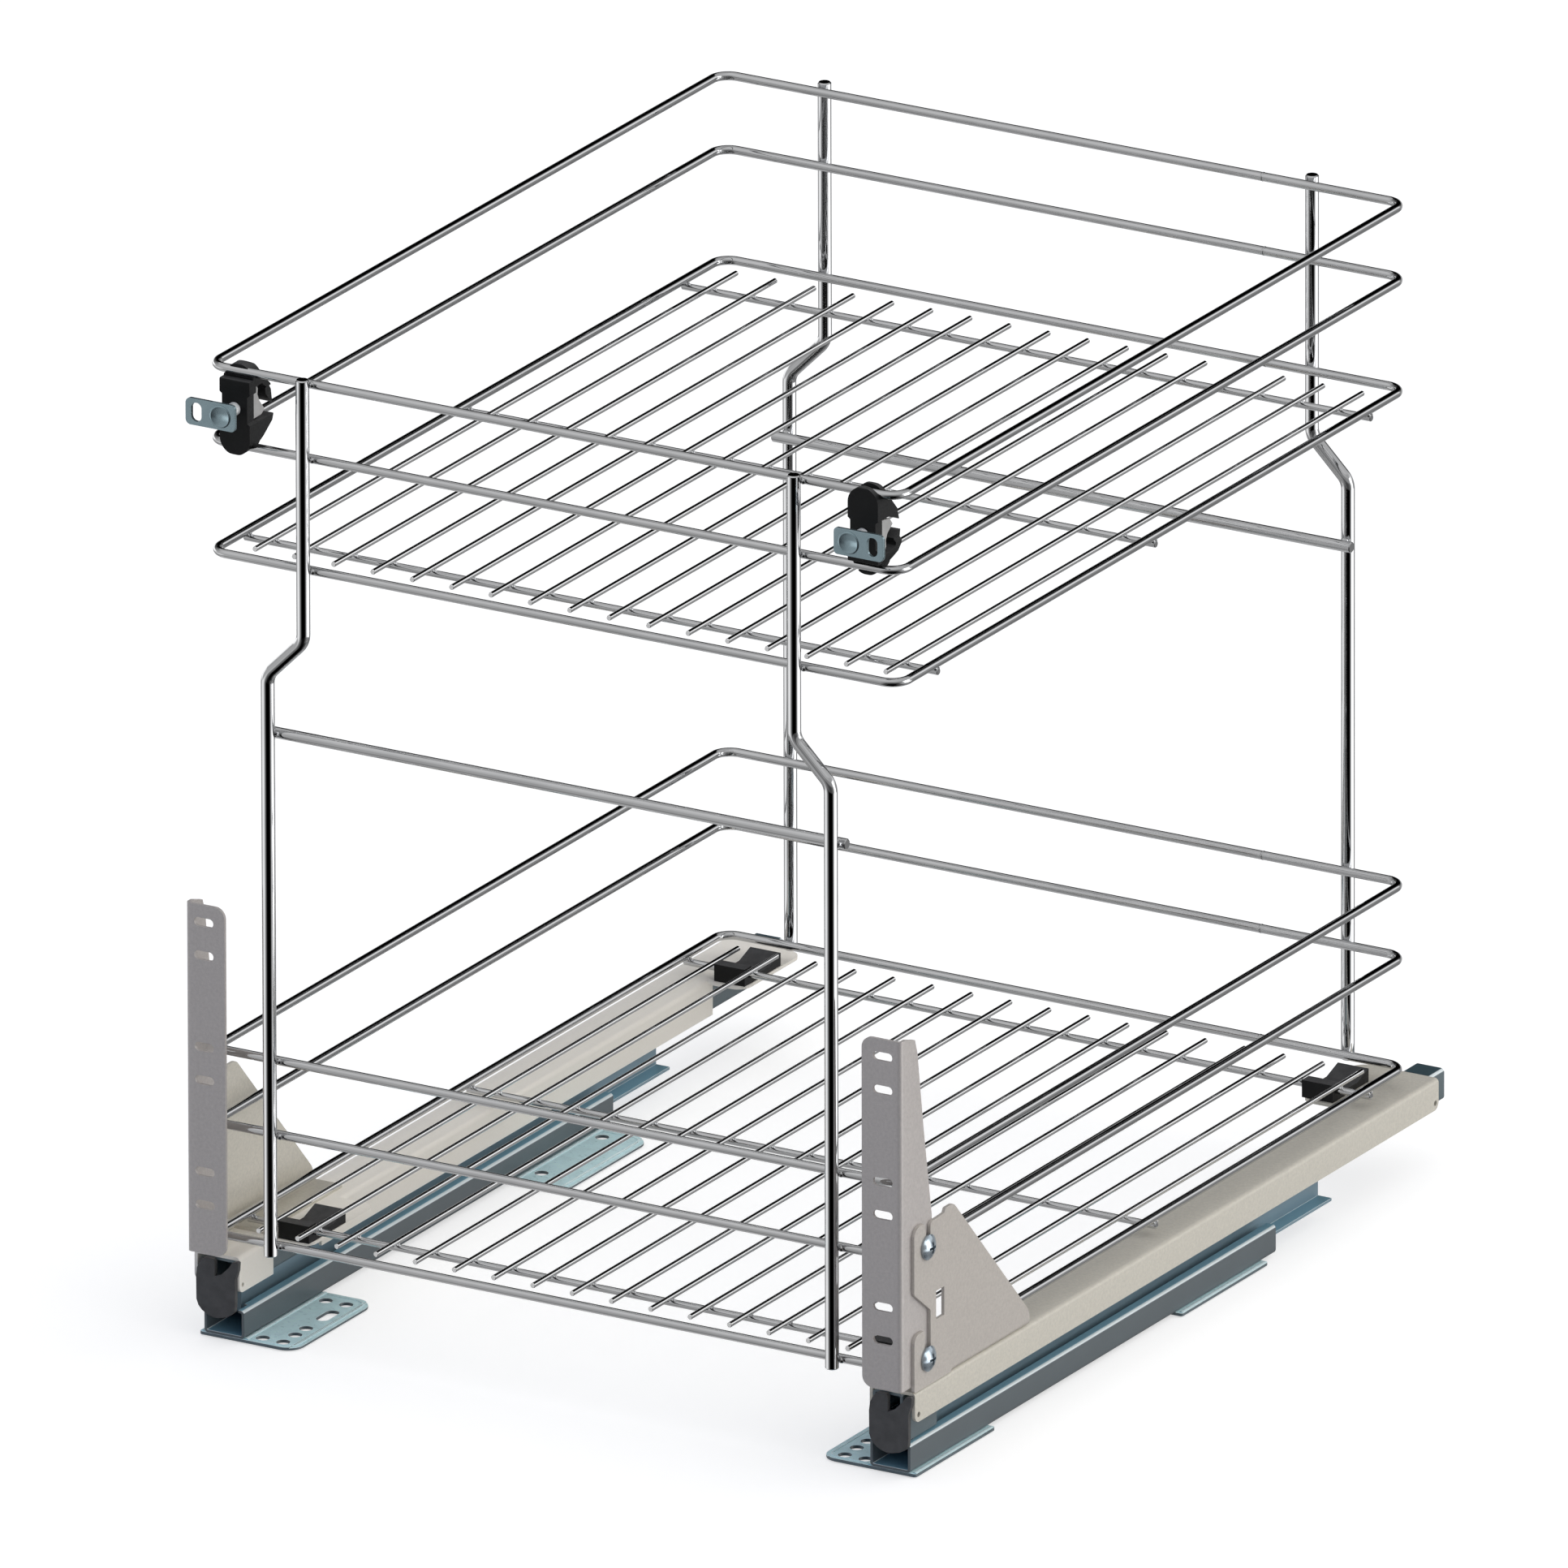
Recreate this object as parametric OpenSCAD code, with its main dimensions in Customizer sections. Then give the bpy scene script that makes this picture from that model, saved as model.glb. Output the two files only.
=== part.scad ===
// Two-tier pull-out basket on ball runners, with swivelling tabs and slotted brackets for a cabinet front.
// Millimetres. X points right seen from the front, Y points back, Z points up, the floor is at Z = 0.

/* [Basket] */
// Width between the centrelines of the left and right rim wires
basket_w = 342; // [334:1:352]
// Depth between the centrelines of the front and back rim wires
basket_d = 436; // [430:1:450]
// Height from a rim of the lower basket to the same rim of the upper basket
tier_pitch = 312.4; // [300:0.4:360]
// Height between the top and middle rim wires
top_gap = 34; // [33:0.5:38]
// Height between the middle and bottom rim wires
bottom_gap = 51; // [45:1:60]
// Bend radius of the rim wires at the corners
rim_bend_r = 8; // [6:0.5:11]
// Number of thin wires in each basket floor
bar_count = 17; // [15:1:19]

/* [Wires] */
// Diameter of the rim wires
rim_wire = 4; // [3.8:0.1:4.4]
// Diameter of the four upright wires
upright_wire = 6; // [5:0.1:6.4]
// Diameter of the two cross bars
cross_wire = 5; // [4:0.1:6]
// Diameter of the tie wires under the floors
tie_wire = 3.2; // [3:0.1:3.6]
// Diameter of the thin floor wires
bar_wire = 2.4; // [2:0.1:2.8]
// Distance of the uprights inside the side wires at the upper basket
upright_upper_inset = 49; // [45:1:55]
// Distance of the uprights inside the side wires at the lower basket
upright_lower_inset = 31; // [27:1:35]

/* [Rails and brackets] */
// Thickness of the folded rail, wing plate and bracket sheet
sheet = 1.5; // [1.3:0.1:1.6]
// Width of each rail over its outer faces
rail_w = 22.5; // [22.2:0.1:23.5]
// Height of each front bracket
bracket_h = 160; // [150:1:170]
// Width of each front bracket
bracket_w = 19.5; // [18.5:0.5:20.5]
// Width of the open slots that the bracket screws stand in
screw_slot_w = 5; // [4.8:0.1:5.4]
// Up and down play of the bracket from its rest place
bracket_play = 2; // [1:0.5:2.5]

/* [Runners] */
// Thickness of the base plates on the cabinet floor
base_t = 1.5; // [1.2:0.1:1.8]
// Sheet thickness of the three runner profiles
runner_sheet = 1.3; // [1.1:0.1:1.4]
// Height of each whole runner above its base plates
runner_h = 36.5; // [36:0.1:38]
// Height of the fixed channel
channel_h = 13; // [12.6:0.1:13.4]
// Width of the fixed channel over its outer faces
channel_w = 20; // [19.6:0.1:20.4]
// Length of the fixed channel
channel_len = 315.5; // [306:0.5:330]
// Length of the middle profile
middle_len = 355; // [346:1:362]

/* [Holders] */
// Diameter of the holder studs
stud_d = 6; // [5.6:0.1:6.4]
// Length of each swivelling tab
tab_len = 24.7; // [23.5:0.1:26]

/* [Hidden] */
$fn = 48;

// Colours
chrome_grey = [0.74, 0.75, 0.77];
nickel_beige = [0.72, 0.69, 0.64];
zinc_blue = [0.62, 0.72, 0.76];
plastic_black = [0.06, 0.06, 0.06];
plastic_grey = [0.23, 0.23, 0.23];
wedge_grey = [0.66, 0.66, 0.66];

// Depth that a welded wire sinks into its neighbour
weld_sink = 0.1;
// Gap between a moving face and its flat neighbour
slip = 0.1;

// Heights of the rail and of the basket rims
rail_top = base_t + runner_h + sheet;
tie_lift = 4.9;
lower_tie_z = rail_top + tie_lift;
lower_bottom_z = lower_tie_z + tie_wire / 2 + rim_wire / 2 - weld_sink;
lower_middle_z = lower_bottom_z + bottom_gap;
lower_top_z = lower_middle_z + top_gap;
upper_bottom_z = lower_bottom_z + tier_pitch;
upper_middle_z = lower_middle_z + tier_pitch;
upper_top_z = lower_top_z + tier_pitch;
upper_tie_z = lower_tie_z + tier_pitch;

// Places of the rims, rails and runners across the width
side_x = basket_w / 2;
rail_out = side_x + 8.7;
rail_in = rail_out - rail_w;
runner_x = rail_in + 9;

// Places from front to back, measured from the basket centre
half_d = basket_d / 2;
tab_plane = -half_d - 17.4;
front_plane = -half_d - 11.2;
rail_front = -half_d - 2.4;
rail_back = half_d + 15;
inner_back = half_d + 30.6;
channel_front = rail_front + 2;
channel_back = channel_front + channel_len;
middle_front = rail_front + 14.4;
middle_back = middle_front + middle_len;
tie_y = half_d - 31.3;

// Shift that puts the middle of the whole depth at Y = 0
y_shift = -(tab_plane + inner_back) / 2;

// Quantities of the uprights and cross bars
upright_y = half_d + rim_wire / 2 + upright_wire / 2 - weld_sink;
upright_upper_x = side_x - upright_upper_inset;
upright_lower_x = side_x - upright_lower_inset;
upright_bottom = lower_bottom_z - 3.5;
upright_top = upper_top_z + 3.3;
joggle_z = lower_top_z + 187;
joggle_bend_r = 9;
joggle_angle = 45;
cross_y = upright_y - upright_wire / 2 - cross_wire / 2 + weld_sink;
cross_z = joggle_z - 37;

// Quantities of the basket floors
bar_span = basket_w - 28.4;
bar_pitch = bar_span / (bar_count - 1);
bar_front = -half_d + 13;
bar_back = half_d - 12;
tie_end = side_x + 1.5;

// Quantities of the rail walls and tongues
outer_wall_z = rail_top - 14;
inner_wall_z = rail_top - 16.5;
bend_r = 2;
tongue_in = rail_in - 17.7;
front_tongue_y0 = -tie_y - 5;
front_tongue_y1 = -tie_y + 53;
front_gap_y1 = -tie_y + 36;
back_tongue_y0 = tie_y - 5.5;
back_gap_y0 = tie_y - 2;

// Quantities of the wing plate and of the bracket that hangs in it
screw_y = front_plane + 19.8;
screw_shank_r = screw_slot_w / 2 - 0.2;
screw_low_z = rail_top + 12.5;
screw_high_z = rail_top + 63.5;
slot_floor_drop = screw_shank_r + bracket_play + 0.2;
bracket_bottom = rail_top + 2.5;
bracket_top = bracket_bottom + bracket_h;
wing_out = rail_out - sheet - slip;
bracket_in = wing_out - bracket_w;
bracket_slot_x = wing_out - 9.1;
bracket_slot_len = 9.6;
bracket_slot_w = 4;
slot_pair_gap = 15.2;
slot_pair_pitch = 57.2;
first_slot_drop = 7.9;

// Middle of the buffers, and quantities of the clips that stand between the two outer floor wires
rail_mid_x = rail_out - 11.8;
clip_out = bar_span / 2 - bar_wire / 2 - 0.15;
clip_in = clip_out - bar_pitch + bar_wire + 1.7;
clip_mid_x = (clip_in + clip_out) / 2;
clip_peg_y = 17;
peg_r = 3.5;

// Quantities of the runner profiles
channel_floor = base_t + runner_sheet;
channel_top = base_t + channel_h;
channel_half = channel_w / 2;
lip_in = 5.2;
flange_low_z = channel_floor + 5.8;
flange_t = 1.4;
flange_half = channel_half - runner_sheet - 0.6;
web_half = 1.3;
inner_top = base_t + runner_h;
inner_bottom = inner_top - 14.4;
inner_half = runner_x - rail_in - sheet - slip;
head_top_z = inner_top - runner_sheet - 5.3;
head_half = inner_half - runner_sheet - 0.6;
ball_play = 0.05;
low_ball_r = (flange_low_z - channel_floor) / 2 - ball_play;
low_ball_z = (flange_low_z + channel_floor) / 2;
low_ball_x = 4.6;
high_ball_r = (inner_top - runner_sheet - head_top_z) / 2 - ball_play;
high_ball_z = (inner_top - runner_sheet + head_top_z) / 2;
high_ball_x = 2.6;
runner_bend_r = 1.8;
cage_t = 1;
ball_pitch = 14;
low_cage_y0 = channel_front + 113;
low_cage_len = 140;
high_cage_y0 = channel_front + 128;
high_cage_len = 196;

// Quantities of the holders between the top and middle rims of the upper basket
holder_x = side_x - 15;
holder_z = (upper_top_z + upper_middle_z) / 2;
wire_half = top_gap / 2;
holder_half = 7.5;
holder_face = -4.7;
stud_lift = 1;
arm_sag = 2.4;
tab_t = 1.6;
head_t = 0.4;
neck_r = stud_d / 2 - 0.5;
neck_clear = 0.06;

// Puts the parts drawn about the basket centre into the frame of the whole
module placed() {
    translate([0, y_shift, 0]) children();
}

module left_side() {
    mirror([1, 0, 0]) children();
}

// Extrudes an outline drawn in X and Z from y0 back to y1
module along_y(y0, y1) {
    translate([0, y1, 0]) rotate([90, 0, 0]) linear_extrude(height = y1 - y0) children();
}

// Extrudes an outline drawn in Y and Z from x0 out to x1
module along_x(x0, x1) {
    translate([x0, 0, 0]) rotate([90, 0, 90]) linear_extrude(height = x1 - x0) children();
}

module wire_x(x0, x1, y, z, d) {
    translate([x0, y, z]) rotate([0, 90, 0]) cylinder(h = x1 - x0, d = d);
}

module wire_y(y0, y1, x, z, d) {
    translate([x, y0, z]) rotate([-90, 0, 0]) cylinder(h = y1 - y0, d = d);
}

module bar2d(x0, y0, x1, y1) {
    translate([x0, y0]) square([x1 - x0, y1 - y0]);
}

// Quarter of a bent sheet, turned by a
module elbow2d(r, t, a) {
    rotate(a) intersection() {
        difference() {
            circle(r = r);
            circle(r = r - t);
        }
        square([r + 1, r + 1]);
    }
}

// What a rounded outer corner leaves over, with the corner at the origin and the part on the sides sx, sy
module corner2d(r, sx, sy) {
    difference() {
        translate([sx > 0 ? -1 : -r, sy > 0 ? -1 : -r]) square([r + 1, r + 1]);
        translate([sx * r, sy * r]) circle(r = r);
    }
}

// Upright slot with round ends
module slot2d(w, len) {
    circle(d = w);
    translate([0, (len - w) / 2]) circle(d = w);
    translate([0, -(len - w) / 2]) circle(d = w);
    translate([-w / 2, -(len - w) / 2]) square([w, len - w]);
}

// Corner data of an outline: unit directions to both neighbours, tangent length and arc centre
function unit2(v) = v / norm(v);
function to_prev(p, i) = unit2(p[(i + len(p) - 1) % len(p)] - p[i]);
function to_next(p, i) = unit2(p[(i + 1) % len(p)] - p[i]);
function turn_cos(p, i) = to_prev(p, i) * to_next(p, i);
function turn_left(p, i) = cross(-to_prev(p, i), to_next(p, i)) > 0;
function tangent_len(p, i, r) = r * sqrt((1 + turn_cos(p, i)) / (1 - turn_cos(p, i)));
function half_sin(p, i) = sqrt((1 - turn_cos(p, i)) / 2);
function arc_centre(p, i, r) = p[i] + unit2(to_prev(p, i) + to_next(p, i)) * r / half_sin(p, i);
function cut_corner(p, i, r) = r == 0 ? [p[i]] : [p[i] + to_prev(p, i) * tangent_len(p, i, r),
    p[i] + to_next(p, i) * tangent_len(p, i, r)];

// Outline through the points p, counted anticlockwise, with corner radii r; radius 0 leaves a corner sharp
module soft_plate(p, r) {
    difference() {
        union() {
            polygon([for (i = [0 : len(p) - 1]) each cut_corner(p, i, r[i])]);
            for (i = [0 : len(p) - 1])
                if (r[i] > 0 && turn_left(p, i)) translate(arc_centre(p, i, r[i])) circle(r = r[i]);
        }
        for (i = [0 : len(p) - 1])
            if (r[i] > 0 && !turn_left(p, i)) translate(arc_centre(p, i, r[i])) circle(r = r[i]);
    }
}

// Closed rim wire with bent corners
module rim(z) {
    x = side_x - rim_bend_r;
    y = half_d - rim_bend_r;
    color(chrome_grey) placed() union() {
        wire_x(-x, x, -half_d, z, rim_wire);
        wire_x(-x, x, half_d, z, rim_wire);
        wire_y(-y, y, -side_x, z, rim_wire);
        wire_y(-y, y, side_x, z, rim_wire);
        translate([x, y, z]) rim_corner(0);
        translate([-x, y, z]) rim_corner(90);
        translate([-x, -y, z]) rim_corner(180);
        translate([x, -y, z]) rim_corner(270);
    }
}

module rim_corner(a) {
    rotate([0, 0, a]) rotate_extrude(angle = 90) translate([rim_bend_r, 0]) circle(d = rim_wire);
}

module upper_rim_top() {
    rim(upper_top_z);
}

module upper_rim_middle() {
    rim(upper_middle_z);
}

module upper_rim_bottom() {
    rim(upper_bottom_z);
}

module lower_rim_top() {
    rim(lower_top_z);
}

module lower_rim_middle() {
    rim(lower_middle_z);
}

module lower_rim_bottom() {
    rim(lower_bottom_z);
}

// Thin floor wires, side by side, resting on the tie wires
module floor_bars(z) {
    bar_z = z + tie_wire / 2 + bar_wire / 2 - weld_sink;
    color(chrome_grey) placed() for (i = [0 : bar_count - 1])
        wire_y(bar_front, bar_back, -bar_span / 2 + i * bar_pitch, bar_z, bar_wire);
}

// Three tie wires under a basket floor
module tie_wires(z) {
    color(chrome_grey) placed() for (y = [-tie_y, 0, tie_y])
        wire_x(-tie_end, tie_end, y, z, tie_wire);
}

module upper_floor_bars() {
    floor_bars(upper_tie_z);
}

module lower_floor_bars() {
    floor_bars(lower_tie_z);
}

module upper_tie_wires() {
    tie_wires(upper_tie_z);
}

module lower_tie_wires() {
    tie_wires(lower_tie_z);
}

// Bend at the end of a wire that runs up its own Z axis; it leans towards -X, or back towards +X for s = -1.
// The wire is a touch thinner in the bend, whose ends reach a little into the straight wires.
module joggle_bend(s) {
    reach = 3;
    thinning = 0.04;
    rotate([90, 0, 0]) mirror([s > 0 ? 0 : 1, 0, 0]) translate([-joggle_bend_r, 0, 0]) rotate([0, 0, -reach])
        rotate_extrude(angle = joggle_angle + 2 * reach)
            translate([joggle_bend_r, 0]) circle(d = upright_wire - thinning);
}

// Upright wire on the right side, with its sideways joggle between the baskets
module upright(y) {
    shift = upright_lower_x - upright_upper_x;
    bend_shift = joggle_bend_r * (1 - cos(joggle_angle));
    bend_rise = joggle_bend_r * sin(joggle_angle);
    slant = (shift - 2 * bend_shift) / sin(joggle_angle);
    half_rise = bend_rise + slant * cos(joggle_angle) / 2;
    low_len = joggle_z - half_rise - upright_bottom;
    high_len = upright_top - joggle_z - half_rise;
    translate([upright_lower_x, y, upright_bottom]) union() {
        cylinder(h = low_len, d = upright_wire);
        translate([0, 0, low_len]) {
            joggle_bend(1);
            translate([-bend_shift, 0, bend_rise]) rotate([0, -joggle_angle, 0]) {
                cylinder(h = slant, d = upright_wire);
                translate([0, 0, slant]) {
                    joggle_bend(-1);
                    translate([bend_shift, 0, bend_rise]) rotate([0, joggle_angle, 0])
                        cylinder(h = high_len, d = upright_wire);
                }
            }
        }
    }
}

module upright_front_right() {
    color(chrome_grey) placed() upright(-upright_y);
}

module upright_front_left() {
    color(chrome_grey) placed() left_side() upright(-upright_y);
}

module upright_back_right() {
    color(chrome_grey) placed() upright(upright_y);
}

module upright_back_left() {
    color(chrome_grey) placed() left_side() upright(upright_y);
}

module cross_bar(y) {
    wire_x(-upright_lower_x - 5, upright_lower_x + 5, y, cross_z, cross_wire);
}

module cross_bar_front() {
    color(chrome_grey) placed() cross_bar(-cross_y);
}

module cross_bar_back() {
    color(chrome_grey) placed() cross_bar(cross_y);
}

// Folded section of the right rail
module rail_section() {
    bar2d(rail_in + bend_r, rail_top - sheet, rail_out - bend_r, rail_top);
    translate([rail_out - bend_r, rail_top - bend_r]) elbow2d(bend_r, sheet, 0);
    translate([rail_in + bend_r, rail_top - bend_r]) elbow2d(bend_r, sheet, 90);
    bar2d(rail_out - sheet, outer_wall_z, rail_out, rail_top - bend_r);
    bar2d(rail_in, inner_wall_z, rail_in + sheet, rail_top - bend_r);
}

// Flat tongue that carries a basket clip, with a round hole for the clip's peg
module tongue(y0, y1, clip_y) {
    x_root = rail_in + bend_r + 0.5;
    translate([0, 0, rail_top - sheet]) linear_extrude(height = sheet) difference() {
        soft_plate([[tongue_in, y0], [x_root, y0], [x_root, y1], [tongue_in, y1]], [7, 0, 0, 7]);
        translate([clip_mid_x, clip_y]) circle(r = peg_r);
    }
}

module top_rail() {
    x_in = rail_in - 0.5;
    x_bend = rail_in + bend_r;
    union() {
        difference() {
            along_y(rail_front, rail_back) rail_section();
            translate([x_in, front_tongue_y0, inner_wall_z - 1])
                cube([x_bend - x_in, front_gap_y1 - front_tongue_y0, rail_top + 2 - inner_wall_z]);
            translate([x_in, back_gap_y0, inner_wall_z - 1])
                cube([x_bend - x_in, rail_back + 1 - back_gap_y0, rail_top + 2 - inner_wall_z]);
            along_x(rail_out - sheet - 1, rail_out + 1) {
                translate([rail_front, outer_wall_z]) corner2d(3.5, 1, 1);
                translate([rail_back, outer_wall_z]) corner2d(3.5, -1, 1);
                translate([rail_front + 3.2, outer_wall_z + 3.3]) circle(r = 1.25);
                translate([rail_back - 2.8, outer_wall_z + 3.3]) circle(r = 1.25);
            }
            along_x(x_in, rail_in + sheet + 1) {
                translate([rail_front, inner_wall_z]) corner2d(3, 1, 1);
                translate([rail_front + 2.8, inner_wall_z + 3.4]) circle(r = 1);
            }
            translate([runner_x - 1, rail_front + 7.4, rail_top + 8.6]) sphere(r = 9);
        }
        tongue(front_tongue_y0, front_tongue_y1, -tie_y + clip_peg_y);
        tongue(back_tongue_y0, rail_back, tie_y + clip_peg_y);
    }
}

module top_rail_right() {
    color(nickel_beige) placed() top_rail();
}

module top_rail_left() {
    color(nickel_beige) placed() left_side() top_rail();
}

// Outline of the wing plate in Y and Z, from the front plane and the rail top
module wing_outline() {
    y_front = 8.4;
    y_slot0 = screw_y - front_plane - screw_slot_w / 2;
    y_slot1 = y_slot0 + screw_slot_w;
    z_low = screw_low_z - rail_top - slot_floor_drop;
    z_high = screw_high_z - rail_top - slot_floor_drop;
    round_r = screw_slot_w / 2 - 0.05;
    intersection() {
        bar2d(0, 0, 120, 90);
        soft_plate([[y_front, 0], [107, 0], [107, 6.4], [42.2, 76.4], [35.4, 76.4], [34.2, 74.4],
            [y_slot1, 74], [y_slot1, z_high], [y_slot0, z_high], [y_slot0, 75], [y_front, 75],
            [y_front, 44.8], [y_slot1, 34], [y_slot1, z_low], [y_slot0, z_low], [y_slot0, 26],
            [y_front, 26]],
            [1, 0.5, 8, 5, 0.6, 1, 2, round_r, round_r, 1, 5, 2, 2, round_r, round_r, 1, 4]);
    }
}

module wing_plate() {
    foot_y0 = front_plane + 40;
    foot_y1 = front_plane + 107;
    foot_in = rail_out - 16;
    r = 2;
    union() {
        difference() {
            along_x(rail_out - sheet, rail_out) translate([front_plane, rail_top]) wing_outline();
            translate([rail_out - sheet - 1, front_plane + 27, rail_top + 28]) cube([sheet + 2, 7, 13]);
            translate([rail_out - sheet - 1, foot_y0, rail_top - 1])
                cube([sheet + 2, foot_y1 + 1 - foot_y0, r + 1]);
        }
        along_y(foot_y0, foot_y1) {
            bar2d(foot_in, rail_top, rail_out - r, rail_top + sheet);
            translate([rail_out - r, rail_top + r]) elbow2d(r, sheet, 270);
        }
    }
}

module wing_plate_right() {
    color(nickel_beige) placed() wing_plate();
}

module wing_plate_left() {
    color(nickel_beige) placed() left_side() wing_plate();
}

// Angle bracket for the cabinet front, with six slots, hung on the wing plate by its screws
module front_bracket() {
    r = 2;
    wing_end = 26.2;
    first_slot_z = bracket_top - first_slot_drop;
    difference() {
        translate([0, 0, bracket_bottom]) linear_extrude(height = bracket_h) {
            bar2d(bracket_in, front_plane, wing_out - r, front_plane + sheet);
            bar2d(wing_out - sheet, front_plane + r, wing_out, front_plane + wing_end);
            translate([wing_out - r, front_plane + r]) elbow2d(r, sheet, 270);
        }
        along_y(front_plane - 1, front_plane + sheet + 1) {
            translate([bracket_in, bracket_bottom]) corner2d(5, 1, 1);
            translate([bracket_in, bracket_top]) corner2d(5, 1, -1);
            for (k = [0 : 2], j = [0 : 1])
                translate([bracket_slot_x, first_slot_z - k * slot_pair_pitch - j * slot_pair_gap])
                    rotate(90) slot2d(bracket_slot_w, bracket_slot_len);
        }
        along_x(wing_out - sheet - 1, wing_out + 1) translate([front_plane, bracket_top])
            polygon([[4.3, 1], [4.3, 0], [12.2, -2.5], [14.2, -8.8], [19.3, -44.5], [wing_end, -86.7],
                [wing_end + 1, -86.7], [wing_end + 1, 1]]);
        for (z = [screw_low_z, screw_high_z])
            wire_x(wing_out - sheet - 1, wing_out + 1, screw_y, z, 2 * screw_shank_r);
    }
}

module front_bracket_right() {
    color(nickel_beige) placed() front_bracket();
}

module front_bracket_left() {
    color(nickel_beige) placed() left_side() front_bracket();
}

// Pan-head screw along X, its head outside the wing plate
module bracket_screw(z) {
    head_r = 5.7;
    head_x = rail_out + slip;
    dome_r = 9;
    dome_rise = 2.9;
    shank_x = wing_out - sheet - 2;
    translate([0, screw_y, z]) rotate([0, 90, 0]) union() {
        translate([0, 0, shank_x]) cylinder(h = head_x - shank_x, r = screw_shank_r);
        difference() {
            translate([0, 0, head_x]) cylinder(h = dome_rise, r = head_r);
            difference() {
                translate([0, 0, head_x - 1]) cylinder(h = dome_rise + 2, r = head_r + 1);
                translate([0, 0, head_x + dome_rise - dome_r]) sphere(r = dome_r);
            }
            for (a = [0, 90])
                rotate([0, 0, a]) translate([-2.6, -0.55, head_x + 1.2]) cube([5.2, 1.1, 3]);
        }
    }
}

module bracket_screws() {
    bracket_screw(screw_low_z);
    bracket_screw(screw_high_z);
}

module bracket_screws_right() {
    color(zinc_blue) placed() bracket_screws();
}

module bracket_screws_left() {
    color(zinc_blue) placed() left_side() bracket_screws();
}

// Moulded buffer in front of the rail and runner, with a plug that slides under the runner's top profile.
// Both sides use the same moulding, unmirrored.
module front_buffer(x) {
    plate_t = 2.5;
    plug_half = 3.8;
    plug_z = inner_bottom - slip - rail_top;
    translate([x, 0, rail_top]) {
        along_y(rail_front - plate_t, rail_front)
            polygon([[-9.8, -10.9], [-9.7, -21.5], [-8.7, -24.3], [-6.9, -26.3], [-4, -28], [-1.1, -28.8],
                [1.3, -28.7], [5.5, -27.6], [7.9, -26.2], [9.6, -24.4], [9.9, -20.2], [9.9, -9.5],
                [11.3, -5.5], [11.6, -1.6], [10.9, -1.2], [8.4, -1.9], [6.5, -4.7], [2.5, -8.6],
                [-0.3, -9.7], [-0.3, -3.1], [-0.9, -1.7], [-5.6, -1.8], [-7.6, -3.7], [-9.3, -7]]);
        along_y(rail_front - 0.5, rail_front + 9)
            bar2d(-plug_half, plug_z - 2.1, plug_half, plug_z);
    }
}

module front_buffer_left() {
    color(plastic_grey) placed() front_buffer(-rail_mid_x);
}

module front_buffer_right() {
    color(plastic_grey) placed() front_buffer(rail_mid_x);
}

// Clip that stands on a rail tongue, with a hook over the tie wire and a ramp behind it
module basket_clip(y) {
    difference() {
        union() {
            along_x(clip_in, clip_out) translate([y, rail_top])
                polygon([[-4, 0], [27.5, 0], [27.5, 6.1], [17.7, 2.7], [2.1, 2.7], [2.1, 8], [-4, 8]]);
            translate([clip_mid_x, y + clip_peg_y, rail_top - 3.4]) cylinder(h = 5, r = peg_r);
        }
        wire_x(clip_in - 1, clip_out + 1, y, lower_tie_z, tie_wire);
        along_x(clip_in - 1, clip_out + 1) translate([y, lower_tie_z])
            bar2d(0, -tie_wire * 0.42, 8, tie_wire * 0.42);
    }
}

module basket_clip_front_right() {
    color(plastic_black) placed() basket_clip(-tie_y);
}

module basket_clip_front_left() {
    color(plastic_black) placed() left_side() basket_clip(-tie_y);
}

module basket_clip_back_right() {
    color(plastic_black) placed() basket_clip(tie_y);
}

module basket_clip_back_left() {
    color(plastic_black) placed() left_side() basket_clip(tie_y);
}

// Front view of the left holder body: round ends at the middle and top rims, with a waist between
module holder_front_outline() {
    w = holder_half;
    waist = w - 1.2;
    low = -wire_half + 4.2;
    high = wire_half - 4.1;
    union() {
        translate([0, low]) circle(r = w);
        translate([0, high]) circle(r = w);
        polygon([[-w, low], [w, low], [w, -5.9], [waist, -4.9], [waist, 6.9], [w, 7.9], [w, high],
            [-w, high], [-w, 7.9], [-waist, 6.9], [-waist, -4.9], [-w, -5.9]]);
    }
}

// Lets the two back arms of a holder sag by the given amount at their ends
function sagged(p, sag) = [p[0], p[1] - sag * max(0, p[0] - 6) / 10];

// Side view of the holder body with its two back arms, in Y from the rim wire and Z from the holder middle
module holder_side_outline(sag) {
    h = wire_half;
    soft_plate([for (p = [[holder_face, -h - 3.3], [4.6, -h - 3.3], [4.6, -15.2], [14.4, -6.6], [15.6, -3.2],
        [12, -4.7], [8, -5], [0.9, -5.4], [0.9, 10.5], [5.9, 10.8], [10.5, 8.2], [10.9, 5.2], [15, 1.8],
        [16.4, 1.2], [15.4, 7.2], [12.6, 10.6], [5.9, 14.4], [5.4, h + 2.3], [3.6, h + 3.4],
        [-1.3, h + 3.4], [-1.3, h - 3], [holder_face, h - 3]]) sagged(p, sag)],
        [1, 1, 0, 1, 0.3, 0, 0, 0, 0, 1, 1.5, 0, 0, 0, 1, 1.5, 0, 0.8, 0.6, 0.5, 0, 0.6]);
}

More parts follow.
